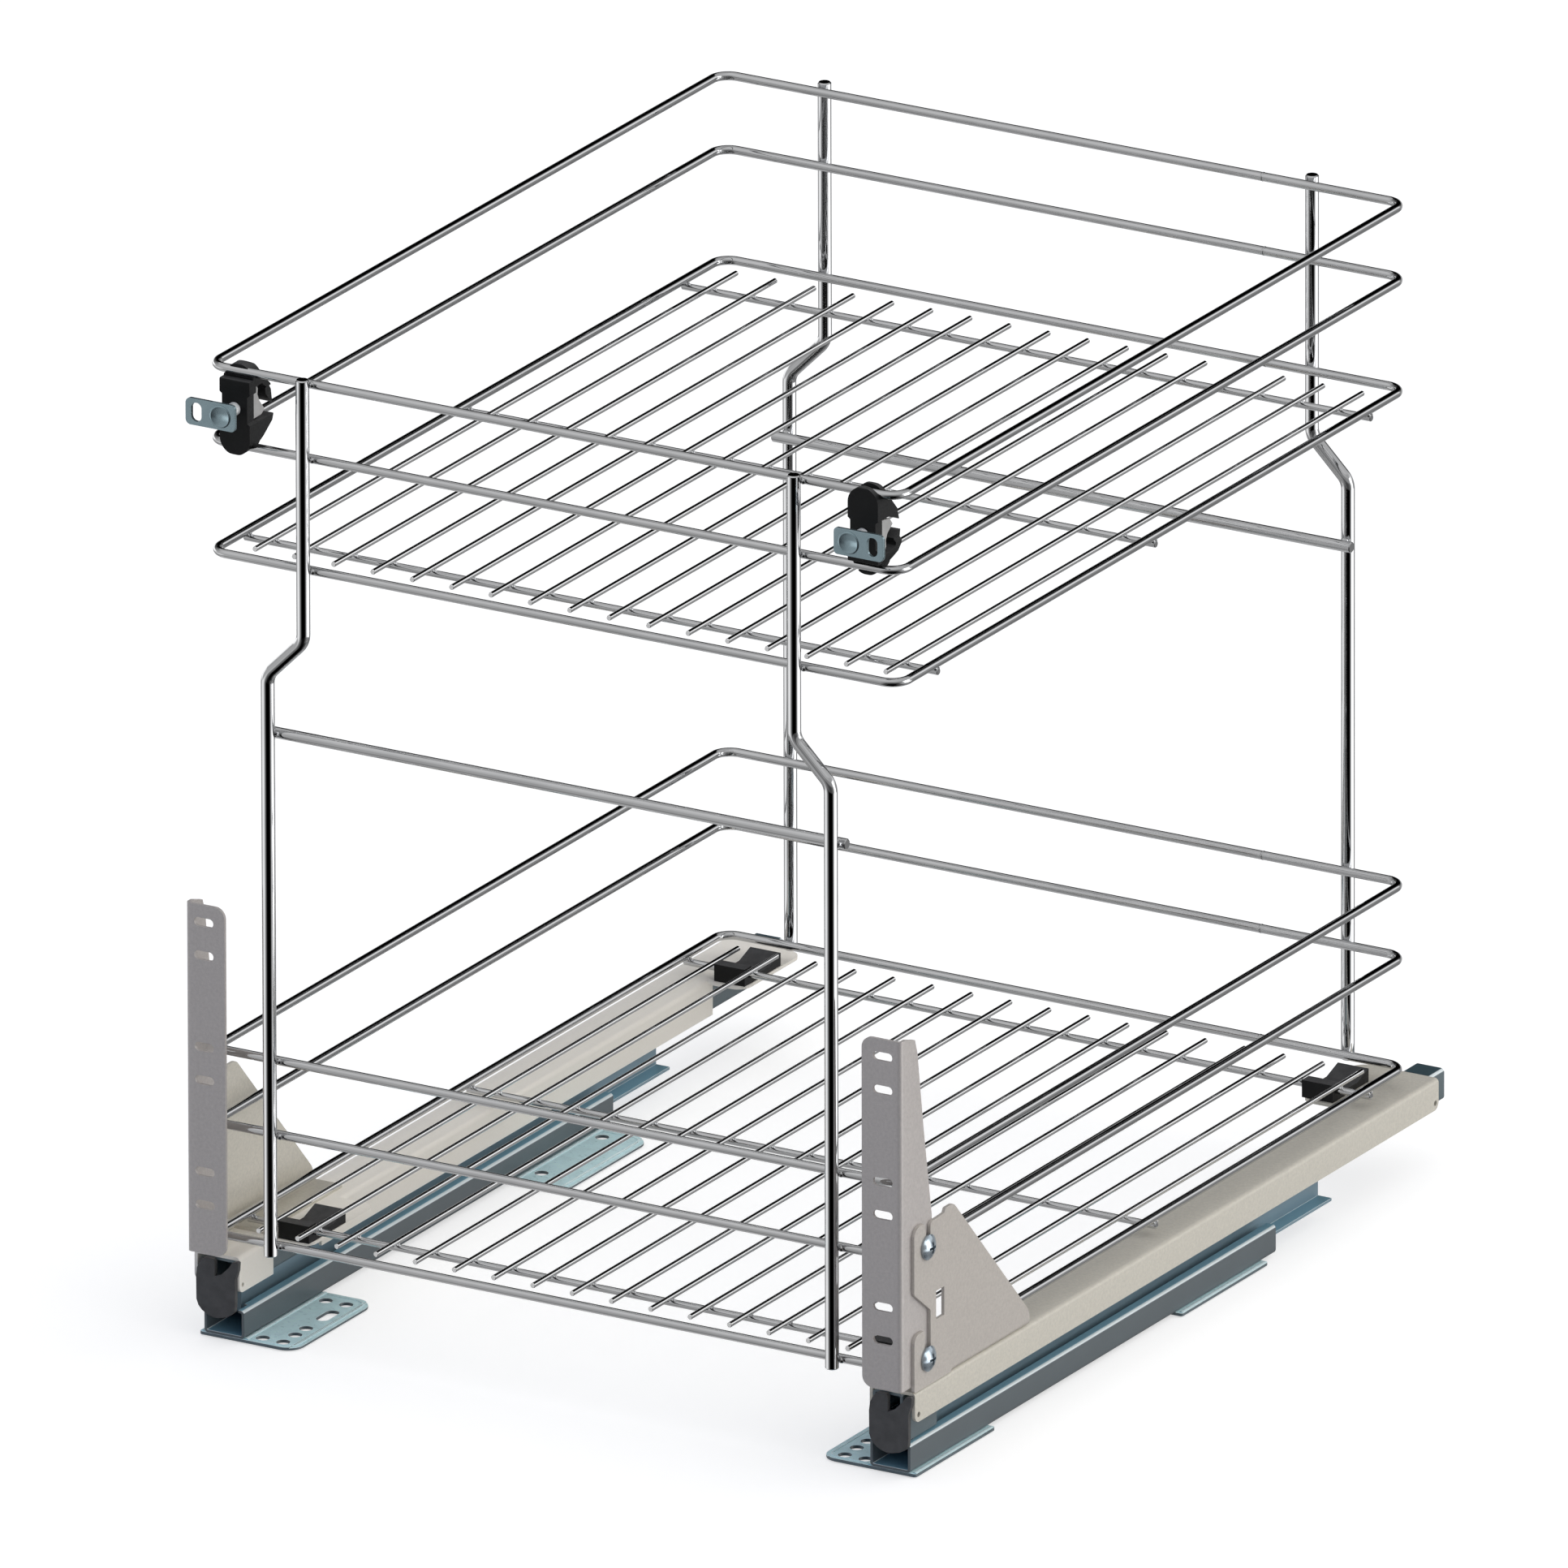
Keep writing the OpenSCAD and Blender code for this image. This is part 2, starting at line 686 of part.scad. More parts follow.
// Left holder body: its low end sits over the middle rim wire, its hook grips the top rim wire from behind
module holder_body(sag) {
    difference() {
        intersection() {
            along_x(-holder_half - 1, holder_half + 1) translate([-half_d, 0]) holder_side_outline(sag);
            along_y(-half_d - 20, -half_d + 40) holder_front_outline();
        }
        for (z = [-wire_half, wire_half])
            wire_x(-12, 12, -half_d, z, rim_wire);
        along_x(-12, 12) translate([-half_d, 0]) {
            bar2d(-rim_wire / 2, -wire_half - 8, rim_wire / 2, -wire_half);
            bar2d(-8, wire_half - rim_wire / 2, 0, wire_half + rim_wire / 2);
        }
        wire_y(-half_d - 8, -half_d - 1, 0, stud_lift, stud_d);
    }
}

// Places a left-hand holder piece on its own side; the right one is the same piece turned over
module on_left_holder() {
    translate([-holder_x, 0, holder_z]) children();
}

module on_right_holder() {
    translate([holder_x, 0, holder_z]) rotate([0, 180, 0]) children();
}

module holder_body_left() {
    color(plastic_black) placed() on_left_holder() holder_body(arm_sag);
}

module holder_body_right() {
    color(plastic_black) placed() on_right_holder() holder_body(-arm_sag);
}

// Light grey wedge between the arms, behind the body
module holder_wedge(sag) {
    along_x(-holder_half + 1.6, holder_half - 1.6) translate([-half_d, 0])
        soft_plate([for (p = [[0.9, -4.6], [8, -4], [10.8, -1.5], [8.4, 0.6], [6.3, 2.6], [4.8, 5.6],
            [5.2, 8.2], [4.2, 9.7], [0.9, 9.9]]) sagged(p, sag)],
            [0.2, 0, 0.5, 0, 0, 1, 0, 0.6, 0.2]);
}

module holder_wedge_left() {
    color(wedge_grey) placed() on_left_holder() holder_wedge(arm_sag);
}

module holder_wedge_right() {
    color(wedge_grey) placed() on_right_holder() holder_wedge(-arm_sag);
}

// Turned stud with a neck and a flat head that keeps the tab
module holder_stud() {
    neck_y0 = tab_plane + head_t;
    neck_y1 = neck_y0 + tab_t + slip;
    translate([0, 0, stud_lift]) union() {
        wire_y(neck_y1, -half_d - 1, 0, 0, stud_d);
        wire_y(tab_plane + head_t / 2, neck_y1 + 1, 0, 0, neck_r * 2);
        wire_y(tab_plane, neck_y0, 0, 0, 10.3);
    }
}

module holder_stud_left() {
    color(zinc_blue) placed() on_left_holder() holder_stud();
}

module holder_stud_right() {
    color(zinc_blue) placed() on_right_holder() holder_stud();
}

// Flat tab that swivels on the stud, slot end outwards
module holder_tab() {
    y0 = tab_plane + head_t + slip / 2;
    x0 = -7.4;
    x1 = x0 + tab_len;
    h = 6.1;
    along_y(y0, y0 + tab_t) difference() {
        soft_plate([[x0, -h], [x1, -h], [x1, h], [x0, h]], [2, 2.5, 2.5, 2]);
        circle(r = neck_r + neck_clear);
        translate([x1 - 5.5, 0]) slot2d(5, 8.5);
    }
}

module holder_tab_right() {
    color(zinc_blue) placed() translate([holder_x, 0, holder_z - stud_lift]) holder_tab();
}

module holder_tab_left() {
    color(zinc_blue) placed() left_side() translate([holder_x, 0, holder_z + stud_lift]) holder_tab();
}

// Section of a rolled profile: a closed back, two side walls and two lips turned in to the half gap.
// The back is at the top for up = 1 and at the bottom for up = -1.
module profile_section(half, z0, z1, gap, up, r) {
    back_z = up > 0 ? z1 - runner_sheet : z0;
    lip_z = up > 0 ? z0 : z1 - runner_sheet;
    bar2d(-half + r, back_z, half - r, back_z + runner_sheet);
    for (s = [0, 1]) mirror([s, 0]) {
        translate([half - r, z0 + r]) elbow2d(r, runner_sheet, 270);
        bar2d(half - runner_sheet, z0 + r, half, z1 - r);
        translate([half - r, z1 - r]) elbow2d(r, runner_sheet, 0);
        bar2d(gap, lip_z, half - r, lip_z + runner_sheet);
    }
}

// Top profile of the runner, fixed under the rail, lips turned in at the bottom
module inner_section() {
    profile_section(inner_half, inner_bottom, inner_top, 3, 1, runner_bend_r);
}

// The right runner's top profile, with the guard at its front end that hangs down outside the middle profile
module runner_inner() {
    translate([runner_x, 0, 0]) {
        union() {
            along_y(rail_front, inner_back) inner_section();
            along_y(rail_front, rail_front + 29)
                bar2d(inner_half - runner_sheet, channel_top + 0.5, inner_half, inner_bottom + runner_bend_r);
        }
    }
}

module runner_inner_right() {
    color(zinc_blue) placed() runner_inner();
}

module runner_inner_left() {
    color(zinc_blue) placed() left_side() runner_inner();
}

// Middle profile: wide foot in the fixed channel, upright web, narrow head in the top profile
module runner_middle() {
    head_low = head_top_z - flange_t;
    translate([runner_x, 0, 0]) along_y(middle_front, middle_back) {
        bar2d(-flange_half, flange_low_z, flange_half, flange_low_z + flange_t);
        bar2d(-web_half, flange_low_z, web_half, head_top_z);
        bar2d(-head_half, head_low, head_half, head_top_z);
    }
}

module runner_middle_right() {
    color(zinc_blue) placed() runner_middle();
}

module runner_middle_left() {
    color(zinc_blue) placed() left_side() runner_middle();
}

// Fixed channel, open at the top, its lips turned in and cut back at the front end
module channel_section() {
    profile_section(channel_half, base_t, channel_top, lip_in, -1, runner_bend_r);
}

module runner_fixed() {
    translate([runner_x, 0, 0]) difference() {
        along_y(channel_front, channel_back) channel_section();
        translate([-channel_half + 3, channel_front - 1, channel_top - 3]) cube([channel_w - 6, 9, 5]);
    }
}

module runner_fixed_right() {
    color(zinc_blue) placed() runner_fixed();
}

module runner_fixed_left() {
    color(zinc_blue) placed() left_side() runner_fixed();
}

// Ball places along a cage; the second row is set half a pitch back
function ball_row(y0, length) = [for (y = [y0 + 9 : ball_pitch : y0 + length - 14]) y];

// Flat cage strip with two rows of ball holes
module cage(y0, length, z, half, x, r) {
    translate([runner_x, 0, z - cage_t / 2]) linear_extrude(height = cage_t) difference() {
        soft_plate([[-half, y0], [half, y0], [half, y0 + length], [-half, y0 + length]], [2, 2, 2, 2]);
        for (y = ball_row(y0, length)) {
            translate([x, y]) circle(r = r + 0.1);
            translate([-x, y + ball_pitch / 2]) circle(r = r + 0.1);
        }
    }
}

module balls(y0, length, z, x, r) {
    for (y = ball_row(y0, length)) {
        translate([runner_x + x, y, z]) sphere(r = r);
        translate([runner_x - x, y + ball_pitch / 2, z]) sphere(r = r);
    }
}

module lower_cage() {
    half = channel_half - runner_sheet - 0.4;
    cage(low_cage_y0, low_cage_len, low_ball_z, half, low_ball_x, low_ball_r);
}

module upper_cage() {
    half = inner_half - runner_sheet - 0.2;
    cage(high_cage_y0, high_cage_len, high_ball_z, half, high_ball_x, high_ball_r);
}

module lower_cage_right() {
    color(plastic_black) placed() lower_cage();
}

module lower_cage_left() {
    color(plastic_black) placed() left_side() lower_cage();
}

module upper_cage_right() {
    color(plastic_black) placed() upper_cage();
}

module upper_cage_left() {
    color(plastic_black) placed() left_side() upper_cage();
}

module lower_balls() {
    balls(low_cage_y0, low_cage_len, low_ball_z, low_ball_x, low_ball_r);
}

module upper_balls() {
    balls(high_cage_y0, high_cage_len, high_ball_z, high_ball_x, high_ball_r);
}

module lower_balls_right() {
    color(chrome_grey) placed() lower_balls();
}

module lower_balls_left() {
    color(chrome_grey) placed() left_side() lower_balls();
}

module upper_balls_right() {
    color(chrome_grey) placed() upper_balls();
}

module upper_balls_left() {
    color(chrome_grey) placed() left_side() upper_balls();
}

plate_in = runner_x - 35.2;
plate_out = runner_x + channel_half + 2.6;
hole_near_x = runner_x - 15.8;
hole_far_x = runner_x - 26;
front_plate_y0 = channel_front;
front_plate_len = 68.5;
back_plate_len = 75;
back_plate_y0 = channel_back - 11 - back_plate_len;

// Blank of a base plate, its inner edge band pressed lower
module base_plate(y0, length) {
    y1 = y0 + length;
    difference() {
        linear_extrude(height = base_t)
            soft_plate([[plate_in, y0], [plate_out, y0], [plate_out, y1], [plate_in, y1]], [8, 1.5, 1.5, 8]);
        translate([plate_in - 1, y0 - 1, base_t - 0.4]) cube([4.5, length + 2, 1]);
    }
}

module front_plate() {
    difference() {
        base_plate(front_plate_y0, front_plate_len);
        translate([0, front_plate_y0, -1]) linear_extrude(height = base_t + 2) {
            translate([hole_near_x, 6]) circle(d = 6);
            translate([hole_near_x, 59.4]) circle(d = 6);
            translate([hole_far_x, 6]) circle(d = 6);
            translate([hole_far_x, 59.4]) circle(d = 6);
            translate([hole_far_x, 16.2]) circle(d = 6);
            translate([hole_far_x, 25.4]) circle(d = 6);
            translate([hole_far_x, 43.7]) slot2d(6, 14);
        }
    }
}

module back_plate() {
    difference() {
        base_plate(back_plate_y0, back_plate_len);
        for (y = [14.2, 66.3])
            translate([hole_near_x, back_plate_y0 + y, -1]) cylinder(h = base_t + 2, d = 6);
    }
}

module front_plate_right() {
    color(zinc_blue) placed() front_plate();
}

module front_plate_left() {
    color(zinc_blue) placed() left_side() front_plate();
}

module back_plate_right() {
    color(zinc_blue) placed() back_plate();
}

module back_plate_left() {
    color(zinc_blue) placed() left_side() back_plate();
}

upper_rim_top();
upper_rim_middle();
upper_rim_bottom();
upper_floor_bars();
upper_tie_wires();
lower_rim_top();
lower_rim_middle();
lower_rim_bottom();
lower_floor_bars();
lower_tie_wires();
upright_front_left();
upright_front_right();
upright_back_left();
upright_back_right();
cross_bar_front();
cross_bar_back();
top_rail_left();
top_rail_right();
wing_plate_left();
wing_plate_right();
front_bracket_left();
front_bracket_right();
bracket_screws_left();
bracket_screws_right();
front_buffer_left();
front_buffer_right();
basket_clip_front_left();
basket_clip_front_right();
basket_clip_back_left();
basket_clip_back_right();
holder_body_left();
holder_body_right();
holder_wedge_left();
holder_wedge_right();
holder_stud_left();
holder_stud_right();
holder_tab_left();
holder_tab_right();
runner_inner_left();
runner_inner_right();
runner_middle_left();
runner_middle_right();
runner_fixed_left();
runner_fixed_right();
lower_cage_left();
lower_cage_right();
upper_cage_left();
upper_cage_right();
lower_balls_left();
lower_balls_right();
upper_balls_left();
upper_balls_right();
front_plate_left();
front_plate_right();
back_plate_left();
back_plate_right();
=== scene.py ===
import math
import random

import bmesh
import bpy
from mathutils import Matrix, Vector


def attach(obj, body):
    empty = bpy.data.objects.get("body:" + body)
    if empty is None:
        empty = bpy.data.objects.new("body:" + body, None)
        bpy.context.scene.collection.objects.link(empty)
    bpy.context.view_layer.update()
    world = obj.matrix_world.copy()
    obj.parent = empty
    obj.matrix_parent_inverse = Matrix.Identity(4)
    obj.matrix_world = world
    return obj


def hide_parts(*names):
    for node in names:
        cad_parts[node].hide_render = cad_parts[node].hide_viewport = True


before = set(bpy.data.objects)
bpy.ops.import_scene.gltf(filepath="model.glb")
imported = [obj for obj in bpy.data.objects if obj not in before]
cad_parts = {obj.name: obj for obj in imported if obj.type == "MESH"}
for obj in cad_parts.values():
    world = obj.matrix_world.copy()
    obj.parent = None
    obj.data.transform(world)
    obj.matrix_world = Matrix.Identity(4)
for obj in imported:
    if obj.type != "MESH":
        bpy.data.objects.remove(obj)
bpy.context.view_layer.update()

# Sizes below are in mm and count from the middle of the baskets; pieces are built in metres
MM = 0.001
Y_SHIFT = -6.6

# Basket wires
SIDE_X = 171.0
HALF_D = 218.0
BEND_R = 8.0
CORNER_STEPS = 14
BEND_STEPS = 8
RIM_R = 2.0
UPRIGHT_R = 3.0
CROSS_R = 2.5
TIE_R = 1.6
BAR_R = 1.2
LOWER_TIE_Z = 44.4
LOWER_RIMS = (47.9, 98.9, 132.9)
TIER = 312.4
UPPER_TIE_Z = LOWER_TIE_Z + TIER
UPPER_RIMS = tuple(z + TIER for z in LOWER_RIMS)
TIE_Y = 186.7
TIE_END = 172.5
BAR_SPAN = 313.6
BAR_COUNT = 17
BAR_Y0 = -205.0
BAR_Y1 = 206.0
UPRIGHT_Y = 222.9
UPRIGHT_Z0 = 44.4
UPRIGHT_Z1 = 448.6
UPRIGHT_LOW_X = 140.0
UPRIGHT_HIGH_X = 122.0
JOGGLE_Z = 319.9
JOGGLE_ANGLE = 45.0
JOGGLE_BEND_R = 9.0
CROSS_Y = 217.5
CROSS_Z = 282.9
CROSS_END = 145.0

# Welds: how far a floor bar sinks into the tie wires, and the size and place of the butt weld in each ring's
# back wire, which varies by the spread
WELD_SINK = 0.1
RING_WELD = (0.9, 2.14, 2.14)
RING_WELD_X = 100
RING_WELD_SPREAD = 3
# Beads beside the wires' crossings: half sizes along x, y and z, and how far they lie from the crossing
RING_BEAD = (1.5, 1.25, 1.5)
RING_BEAD_X = 2.6
RING_BEAD_Y = 1.35
BAR_BEAD = (1.05, 0.75, 0.62)
BAR_BEAD_Y = 0.75
BAR_BEAD_DROP = 0.05
TIE_BEAD = (1.5, 1.0, 1.0)
TIE_BEAD_Y = 1.2
TIE_BEAD_Z = 1.55
CROSS_BEAD = (1.9, 1.5, 1.4)
CROSS_BEAD_Y = 2.2
CROSS_BEAD_Z = 1.7

# Studs of the holders; a stud lies above or below the holder's middle by STUD_LIFT
TAB_PLANE = -235.4
HOLDER_X = 156.0
HOLDER_Z = 428.3
STUD_LIFT = 1.0
STUD_R = 3.0
NECK_R = 2.5
RING_PITCH = 0.8
RING_DEPTH = 0.18
HEAD_R = 5.15
TAB_T = 1.6
HEAD_T = 0.4
STUD_PLAY = 0.1
# The shank ends this far in front of the ring wires' middle line
STUD_GAP = 1.0

# Base plates and the beads pressed in them; bead sizes are width and height
PLATE_TOP = 1.5
PLATE_IN = 131.0
PLATE_OUT = 178.8
FRONT_PLATE = (-218.4, -149.9)
BACK_PLATE = (11.1, 86.1)
STEP_X = 155.6
STEP_BEAD = (2.2, 0.5)
BORDER_END_X = 153.5
BORDER_INSET = 2.4
BORDER_R = 5.5
BORDER_BEAD = (0.9, 0.3)
LIP_INSET = 1.25
LIP_BEAD = (2.0, 0.3)
# Band along the plate's inner edge, which is pressed lower
EDGE_BAND = 3.5
EDGE_DROP = 0.4

# Angles in degrees past which an edge stays sharp, on pieces made here and on copies of CAD nodes
SHARP_ANGLE = 40
COPY_ANGLE = 28

random.seed(7)


def at(x, y, z):
    """A point given in mm from the basket middle, in metres of the frame."""
    return Vector((x * MM, (y + Y_SHIFT) * MM, z * MM))


# Shapes

class Shape:
    """Gathers the vertices and faces of one piece, in mm from the basket middle."""

    def __init__(self):
        self.verts = []
        self.faces = []

    def add(self, verts, faces):
        base = len(self.verts)
        self.verts += [Vector(v) for v in verts]
        self.faces += [tuple(base + i for i in f) for f in faces]

    def tube(self, path, radius, sides=20, closed=False, chamfer=0.25):
        """Round wire along a path; open ends are cut square with a small chamfer."""
        pts = [Vector(p) for p in path]
        radii = [radius] * len(pts)
        if not closed:
            first = (pts[1] - pts[0]).normalized() * chamfer
            last = (pts[-2] - pts[-1]).normalized() * chamfer
            pts = [pts[0], pts[0] + first] + pts[1:-1] + [pts[-1] + last, pts[-1]]
            radii = [radius - chamfer] + [radius] * (len(pts) - 2) + [radius - chamfer]
        count = len(pts)
        rings = []
        normal = None
        for i, p in enumerate(pts):
            if closed:
                tangent = (pts[(i + 1) % count] - pts[i - 1]).normalized()
            else:
                tangent = (pts[min(i + 1, count - 1)] - pts[max(i - 1, 0)]).normalized()
            if normal is None:
                helper = Vector((0, 0, 1)) if abs(tangent.z) < 0.9 else Vector((1, 0, 0))
                normal = tangent.cross(helper).normalized()
            normal = (normal - tangent * normal.dot(tangent)).normalized()
            side = tangent.cross(normal)
            rings.append([
                p + (normal * math.cos(a) + side * math.sin(a)) * radii[i]
                for a in (2 * math.pi * k / sides for k in range(sides))
            ])
        faces = []
        last_ring = count if closed else count - 1
        for i in range(last_ring):
            j = (i + 1) % count
            for k in range(sides):
                m = (k + 1) % sides
                faces.append((i * sides + k, i * sides + m, j * sides + m, j * sides + k))
        if not closed:
            faces.append(tuple(reversed(range(sides))))
            faces.append(tuple((count - 1) * sides + k for k in range(sides)))
        self.add([v for ring in rings for v in ring], faces)

    def bead(self, centre, size, sides=10, rows=6):
        """Weld bead: an ellipsoid with the half sizes given, along x, y and z."""
        centre = Vector(centre)
        verts = [centre + Vector((0, 0, size[2]))]
        for r in range(1, rows):
            t = math.pi * r / rows
            for k in range(sides):
                a = 2 * math.pi * k / sides
                verts.append(centre + Vector((
                    size[0] * math.sin(t) * math.cos(a),
                    size[1] * math.sin(t) * math.sin(a),
                    size[2] * math.cos(t),
                )))
        verts.append(centre - Vector((0, 0, size[2])))
        faces = [(0, 1 + k, 1 + (k + 1) % sides) for k in range(sides)]
        for r in range(rows - 2):
            for k in range(sides):
                a, b = 1 + r * sides + k, 1 + r * sides + (k + 1) % sides
                faces.append((a, a + sides, b + sides, b))
        end = len(verts) - 1
        row = 1 + (rows - 2) * sides
        faces += [(end, row + (k + 1) % sides, row + k) for k in range(sides)]
        self.add(verts, faces)

    def strip(self, path, width, height):
        """Low crowned bead along a level path, standing on it with its foot sunk in a little."""
        pts = [Vector(p) for p in path]
        section = ((-0.5, -0.12), (-0.4, 0.55), (-0.22, 0.9), (0, 1.0),
                   (0.22, 0.9), (0.4, 0.55), (0.5, -0.12))
        verts = []
        for i, p in enumerate(pts):
            tangent = (pts[min(i + 1, len(pts) - 1)] - pts[max(i - 1, 0)]).normalized()
            side = tangent.cross(Vector((0, 0, 1)))
            verts += [p + side * (a * width) + Vector((0, 0, b * height)) for a, b in section]
        n = len(section)
        faces = [
            (i * n + k, i * n + (k + 1) % n, (i + 1) * n + (k + 1) % n, (i + 1) * n + k)
            for i in range(len(pts) - 1) for k in range(n)
        ]
        faces += [tuple(reversed(range(n))), tuple((len(pts) - 1) * n + k for k in range(n))]
        self.add(verts, faces)

    def turned(self, profile, origin, axis, sides):
        """Solid of revolution: profile points (along, radius) about an axis through origin."""
        axis = Vector(axis).normalized()
        helper = Vector((0, 0, 1)) if abs(axis.z) < 0.9 else Vector((1, 0, 0))
        u = axis.cross(helper).normalized()
        v = axis.cross(u)
        origin = Vector(origin)
        verts = []
        for along, radius in profile:
            for k in range(sides):
                a = 2 * math.pi * k / sides
                verts.append(origin + axis * along + (u * math.cos(a) + v * math.sin(a)) * radius)
        faces = []
        for i in range(len(profile) - 1):
            for k in range(sides):
                m = (k + 1) % sides
                faces.append((i * sides + k, i * sides + m, (i + 1) * sides + m, (i + 1) * sides + k))
        faces.append(tuple(reversed(range(sides))))
        faces.append(tuple((len(profile) - 1) * sides + k for k in range(sides)))
        self.add(verts, faces)

    def piece(self, name, finish, body, nodes=()):
        """Makes the Blender object, gives it its finish and lets it ride on its body."""
        mesh = bpy.data.meshes.new(name)
        mesh.from_pydata([at(*v) for v in self.verts], [], self.faces)
        work = bmesh.new()
        work.from_mesh(mesh)
        bmesh.ops.recalc_face_normals(work, faces=work.faces)
        work.to_mesh(mesh)
        work.free()
        return dress(bpy.data.objects.new(name, mesh), finish, body, nodes, SHARP_ANGLE)


def dress(obj, finish, body, nodes, sharp):
    """Gives a new object its finish and body, and hides the CAD nodes that it stands for."""
    bpy.context.scene.collection.objects.link(obj)
    obj.data.materials.clear()
    obj.data.materials.append(finish)
    obj.data.polygons.foreach_set("use_smooth", [True] * len(obj.data.polygons))
    obj.data.set_sharp_from_angle(angle=math.radians(sharp))
    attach(obj, body)
    if nodes:
        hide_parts(*nodes)
    return obj


def rounded_copy(node, name, finish, body, width):
    """A finer copy of a CAD node: flat faces joined, and small rounds on its sharp edges."""
    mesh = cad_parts[node].data.copy()
    work = bmesh.new()
    work.from_mesh(mesh)
    bmesh.ops.remove_doubles(work, verts=work.verts, dist=2e-6)
    bmesh.ops.dissolve_limit(work, angle_limit=math.radians(0.6), verts=work.verts, edges=work.edges)
    work.to_mesh(mesh)
    work.free()
    obj = dress(bpy.data.objects.new(name, mesh), finish, body, [node], COPY_ANGLE)
    bevel = obj.modifiers.new("edge rounds", "BEVEL")
    bevel.width = width * MM
    bevel.segments = 2
    bevel.limit_method = "ANGLE"
    bevel.angle_limit = math.radians(COPY_ANGLE)
    bevel.harden_normals = True
    return obj


# Finishes

def colour_ramp(tree, fac, stops):
    """Colour ramp node with stops (position, colour)."""
    ramp = tree.nodes.new("ShaderNodeValToRGB")
    while len(ramp.color_ramp.elements) < len(stops):
        ramp.color_ramp.elements.new(0.5)
    for element, (place, colour) in zip(ramp.color_ramp.elements, stops):
        element.position = place
        element.color = (*colour, 1)
    tree.links.new(fac, ramp.inputs["Fac"])
    return ramp.outputs["Color"]


class Finish:
    """A principled material whose colour, roughness and bump come from noise in object space."""

    def __init__(self, name):
        self.material = bpy.data.materials.new(name)
        self.material.use_nodes = True
        self.tree = self.material.node_tree
        self.shader = self.tree.nodes["Principled BSDF"]
        self.coords = self.tree.nodes.new("ShaderNodeTexCoord").outputs["Object"]
        self.bump_normal = None

    def link(self, a, b):
        self.tree.links.new(a, b)

    def noise(self, scale, detail=3.0, rough=0.55):
        """Noise in object space with about this many blotches a metre."""
        node = self.tree.nodes.new("ShaderNodeTexNoise")
        node.inputs["Scale"].default_value = scale
        node.inputs["Detail"].default_value = detail
        node.inputs["Roughness"].default_value = rough
        self.link(self.coords, node.inputs["Vector"])
        return node.outputs["Fac"]

    def span(self, fac, low, high):
        """Noise, which stays near its middle, spread over the range from low to high."""
        span = self.tree.nodes.new("ShaderNodeMapRange")
        span.inputs["From Min"].default_value = 0.3
        span.inputs["From Max"].default_value = 0.7
        span.inputs["To Min"].default_value = low
        span.inputs["To Max"].default_value = high
        self.link(fac, span.inputs["Value"])
        return span.outputs["Result"]

    def colours(self, fac, stops):
        """Colour ramp with stops (position, colour), set as the base colour."""
        self.link(colour_ramp(self.tree, fac, stops), self.shader.inputs["Base Color"])

    def facing(self, stops):
        """Colour ramp by how far a face looks up, in object space, for painted light: stops (upward share,
        colour).
        """
        normal = self.tree.nodes.new("ShaderNodeTexCoord").outputs["Normal"]
        parts = self.tree.nodes.new("ShaderNodeSeparateXYZ")
        self.link(normal, parts.inputs[0])
        return colour_ramp(self.tree, parts.outputs["Z"], stops)

    def tinted(self, colour, fac, low, high):
        """Sets a colour, made darker and lighter in blotches, as the base colour."""
        scale = self.tree.nodes.new("ShaderNodeVectorMath")
        scale.operation = "SCALE"
        self.link(colour, scale.inputs[0])
        self.link(self.span(fac, low, high), scale.inputs["Scale"])
        self.link(scale.outputs["Vector"], self.shader.inputs["Base Color"])

    def roughness(self, fac, low, high):
        self.link(self.span(fac, low, high), self.shader.inputs["Roughness"])

    def bump(self, fac, strength, distance):
        """Bumps of a height in mm, added to those set before."""
        node = self.tree.nodes.new("ShaderNodeBump")
        node.inputs["Strength"].default_value = strength
        node.inputs["Distance"].default_value = distance * MM
        self.link(fac, node.inputs["Height"])
        if self.bump_normal:
            self.link(self.bump_normal, node.inputs["Normal"])
        self.bump_normal = node.outputs["Normal"]
        self.link(self.bump_normal, self.shader.inputs["Normal"])


def chrome(name, dark, light):
    f = Finish(name)
    f.shader.inputs["Metallic"].default_value = 1.0
    f.colours(f.noise(scale=35), [(0.35, dark), (0.65, light)])
    f.roughness(f.noise(scale=900), low=0.02, high=0.05)
    f.bump(f.noise(scale=160, detail=2), strength=0.06, distance=0.1)
    return f.material


def nickel(name, dark, light, metallic=0.3):
    f = Finish(name)
    f.shader.inputs["Metallic"].default_value = metallic
    f.colours(f.noise(scale=700, detail=6, rough=0.7), [(0.3, dark), (0.7, light)])
    f.roughness(f.noise(scale=1800, detail=4), low=0.40, high=0.52)
    f.bump(f.noise(scale=2600, detail=3), strength=0.22, distance=0.05)
    f.bump(f.noise(scale=55, detail=2), strength=0.12, distance=0.4)
    return f.material


def zinc(name, dark, middle, light, metallic, rough):
    f = Finish(name)
    f.shader.inputs["Metallic"].default_value = metallic
    f.colours(f.noise(scale=90, detail=5, rough=0.65), [(0.25, dark), (0.5, middle), (0.75, light)])
    f.roughness(f.noise(scale=600, detail=4), *rough)
    f.bump(f.noise(scale=1400, detail=4), strength=0.18, distance=0.05)
    return f.material


def passivated(name, stops, low, high, scale, metallic, rough):
    """Blue passivated zinc, slate on upright faces; its colour set by facing is painted light, lighter where
    it faces up.
    """
    f = Finish(name)
    f.shader.inputs["Metallic"].default_value = metallic
    f.tinted(f.facing(stops), f.noise(scale, detail=6, rough=0.7), low, high)
    f.roughness(f.noise(scale=500, detail=3), *rough)
    f.bump(f.noise(scale=1500, detail=4), strength=0.04, distance=0.04)
    return f.material


